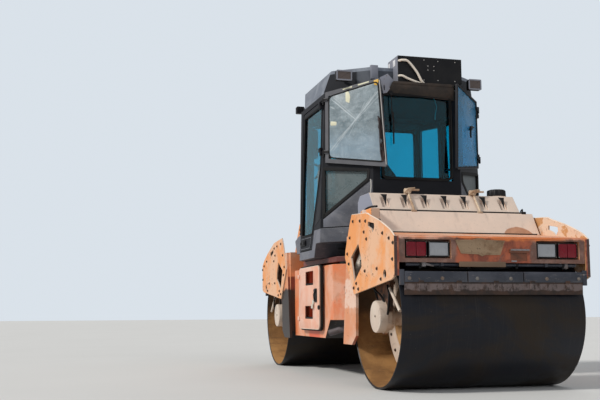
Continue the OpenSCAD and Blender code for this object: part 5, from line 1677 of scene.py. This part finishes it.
def sewn_pad(name, shape, channels, cap=0.01):
    """A pad: remeshed, blown up as cloth under pressure, its movement capped, then sewn channels pressed in along
    lines as depth times exp(-(distance / width)^2), both 7 mm, on the side that a channel names."""
    made = piece(name, shape, FRONT, CLOTH, 60)
    mesh = made.data
    grid = made.modifiers.new("grid", "REMESH")
    grid.mode = "VOXEL"
    grid.voxel_size = PAD_GRID
    rest_mesh = bpy.data.meshes.new_from_object(made.evaluated_get(bpy.context.evaluated_depsgraph_get()))
    made.modifiers.clear()
    made.data = rest_mesh
    bpy.data.meshes.remove(mesh)
    rest = points_of(rest_mesh)
    cloth = made.modifiers.new("cloth", "CLOTH")
    cloth.settings.use_pressure = True
    cloth.settings.uniform_pressure_force = 4.0
    cloth.settings.effector_weights.gravity = 0.0
    for number in range(1, PAD_FRAMES + 1):
        bpy.context.scene.frame_set(number)
    blown = bpy.data.meshes.new_from_object(made.evaluated_get(bpy.context.evaluated_depsgraph_get()))
    made.modifiers.clear()
    move = points_of(blown) - rest
    bpy.data.meshes.remove(blown)
    bpy.context.scene.frame_set(1)
    far = np.linalg.norm(move, axis=1, keepdims=True)
    rest = rest + move * np.minimum(1.0, cap / np.maximum(far, 1e-9))
    middle = rest.mean(axis=0)
    inward = middle - rest
    inward /= np.linalg.norm(inward, axis=1, keepdims=True)
    for normal, offset, side_axis, side_from in channels:
        distance = rest @ np.asarray(normal, float) - offset
        facing = 1.0 / (1.0 + np.exp(-(rest @ np.asarray(side_axis, float) - side_from) / 0.008))
        rest = rest + inward * (CHANNEL * np.exp(-(distance / CHANNEL) ** 2) * facing)[:, None]
    rest_mesh.vertices.foreach_set("co", rest.ravel())
    rest_mesh.materials.clear()
    rest_mesh.materials.append(CLOTH)
    rest_mesh.shade_smooth()
    rest_mesh.update()
    smooth = made.modifiers.new("smooth", "SUBSURF")
    smooth.levels = smooth.render_levels = 1
    return made


def driver_seat():
    """Sprung seat: cushion, back and head rest as sewn pads with piping, on a folding base."""
    bolster = [((0, 1, 0), 0.44 + k, (0, 0, 1), 1.72) for k in (-0.15, -0.05, 0.05, 0.15)]
    cushion = crowned((-0.245, 0.212, 1.634), (0.19, 0.668, 1.722), 0.16)
    made = sewn_pad("seat_cushion", cushion, bolster)
    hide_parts("seat")
    lean = math.radians(-10)
    turn = Matrix.Rotation(lean, 4, "Y")
    place = (-0.19, 0.44, seat_height() + 0.04)
    back = crowned((-0.104, -0.218, 0.03), (-0.012, 0.218, 0.46), 0.0)
    forward = np.array(turn.to_3x3()) @ np.array([1.0, 0.0, 0.0])
    upward = np.array(turn.to_3x3()) @ np.array([0.0, 0.0, 1.0])
    grooves = [((0, 1, 0), 0.44 + k, forward, float(np.dot(forward, place)) - 0.04) for k in (-0.11, 0.11)]
    grooves += [(upward, float(np.dot(upward, place)) + h, forward, float(np.dot(forward, place)) - 0.04)
                for h in (0.15, 0.27, 0.39)]
    sewn_pad("seat_back", shifted(back, place, turn), grooves)
    head = crowned((-0.094, -0.135, 0.505), (-0.02, 0.135, 0.622), 0.0, (30, 30))
    sewn_pad("head_rest", shifted(head, place, turn), [], 0.006)
    posts = [tube([(-0.058, y, 0.43), (-0.058, y, 0.53)], 0.007, 12, 1) for y in (-0.06, 0.06)]
    shell = bar((-0.112, -0.205, 0.02), (-0.098, 0.205, 0.455), 0.006, "x", 0.05)
    piece("seat_back_shell", shifted(joined(posts + [shell]), place, turn), FRONT, BLACK_PLASTIC)
    edge = rounded_box_outline((-0.243, 0.214), (0.188, 0.666), 0.06, 8)
    ring = np.column_stack([edge, np.full(len(edge), 1.636)])
    pan = [tube(np.vstack([ring, ring[:1]]), 0.006, 8, 1),
           bar((-0.22, 0.23, 1.618), (0.17, 0.65, 1.634), 0.004, "z", 0.05)]
    piece("seat_pan", pan, FRONT, BLACK_PLASTIC)


def seat_height():
    """Height of the seat cushion's underside."""
    return size_of("seat_base")[1][2]


seals()
leaf_windows()
door_parts()
mirror_parts()
roof_parts()
cooler_parts()
work_lamps()
inside_cab()
driver_seat()
blacked_panes()
corner_skins()
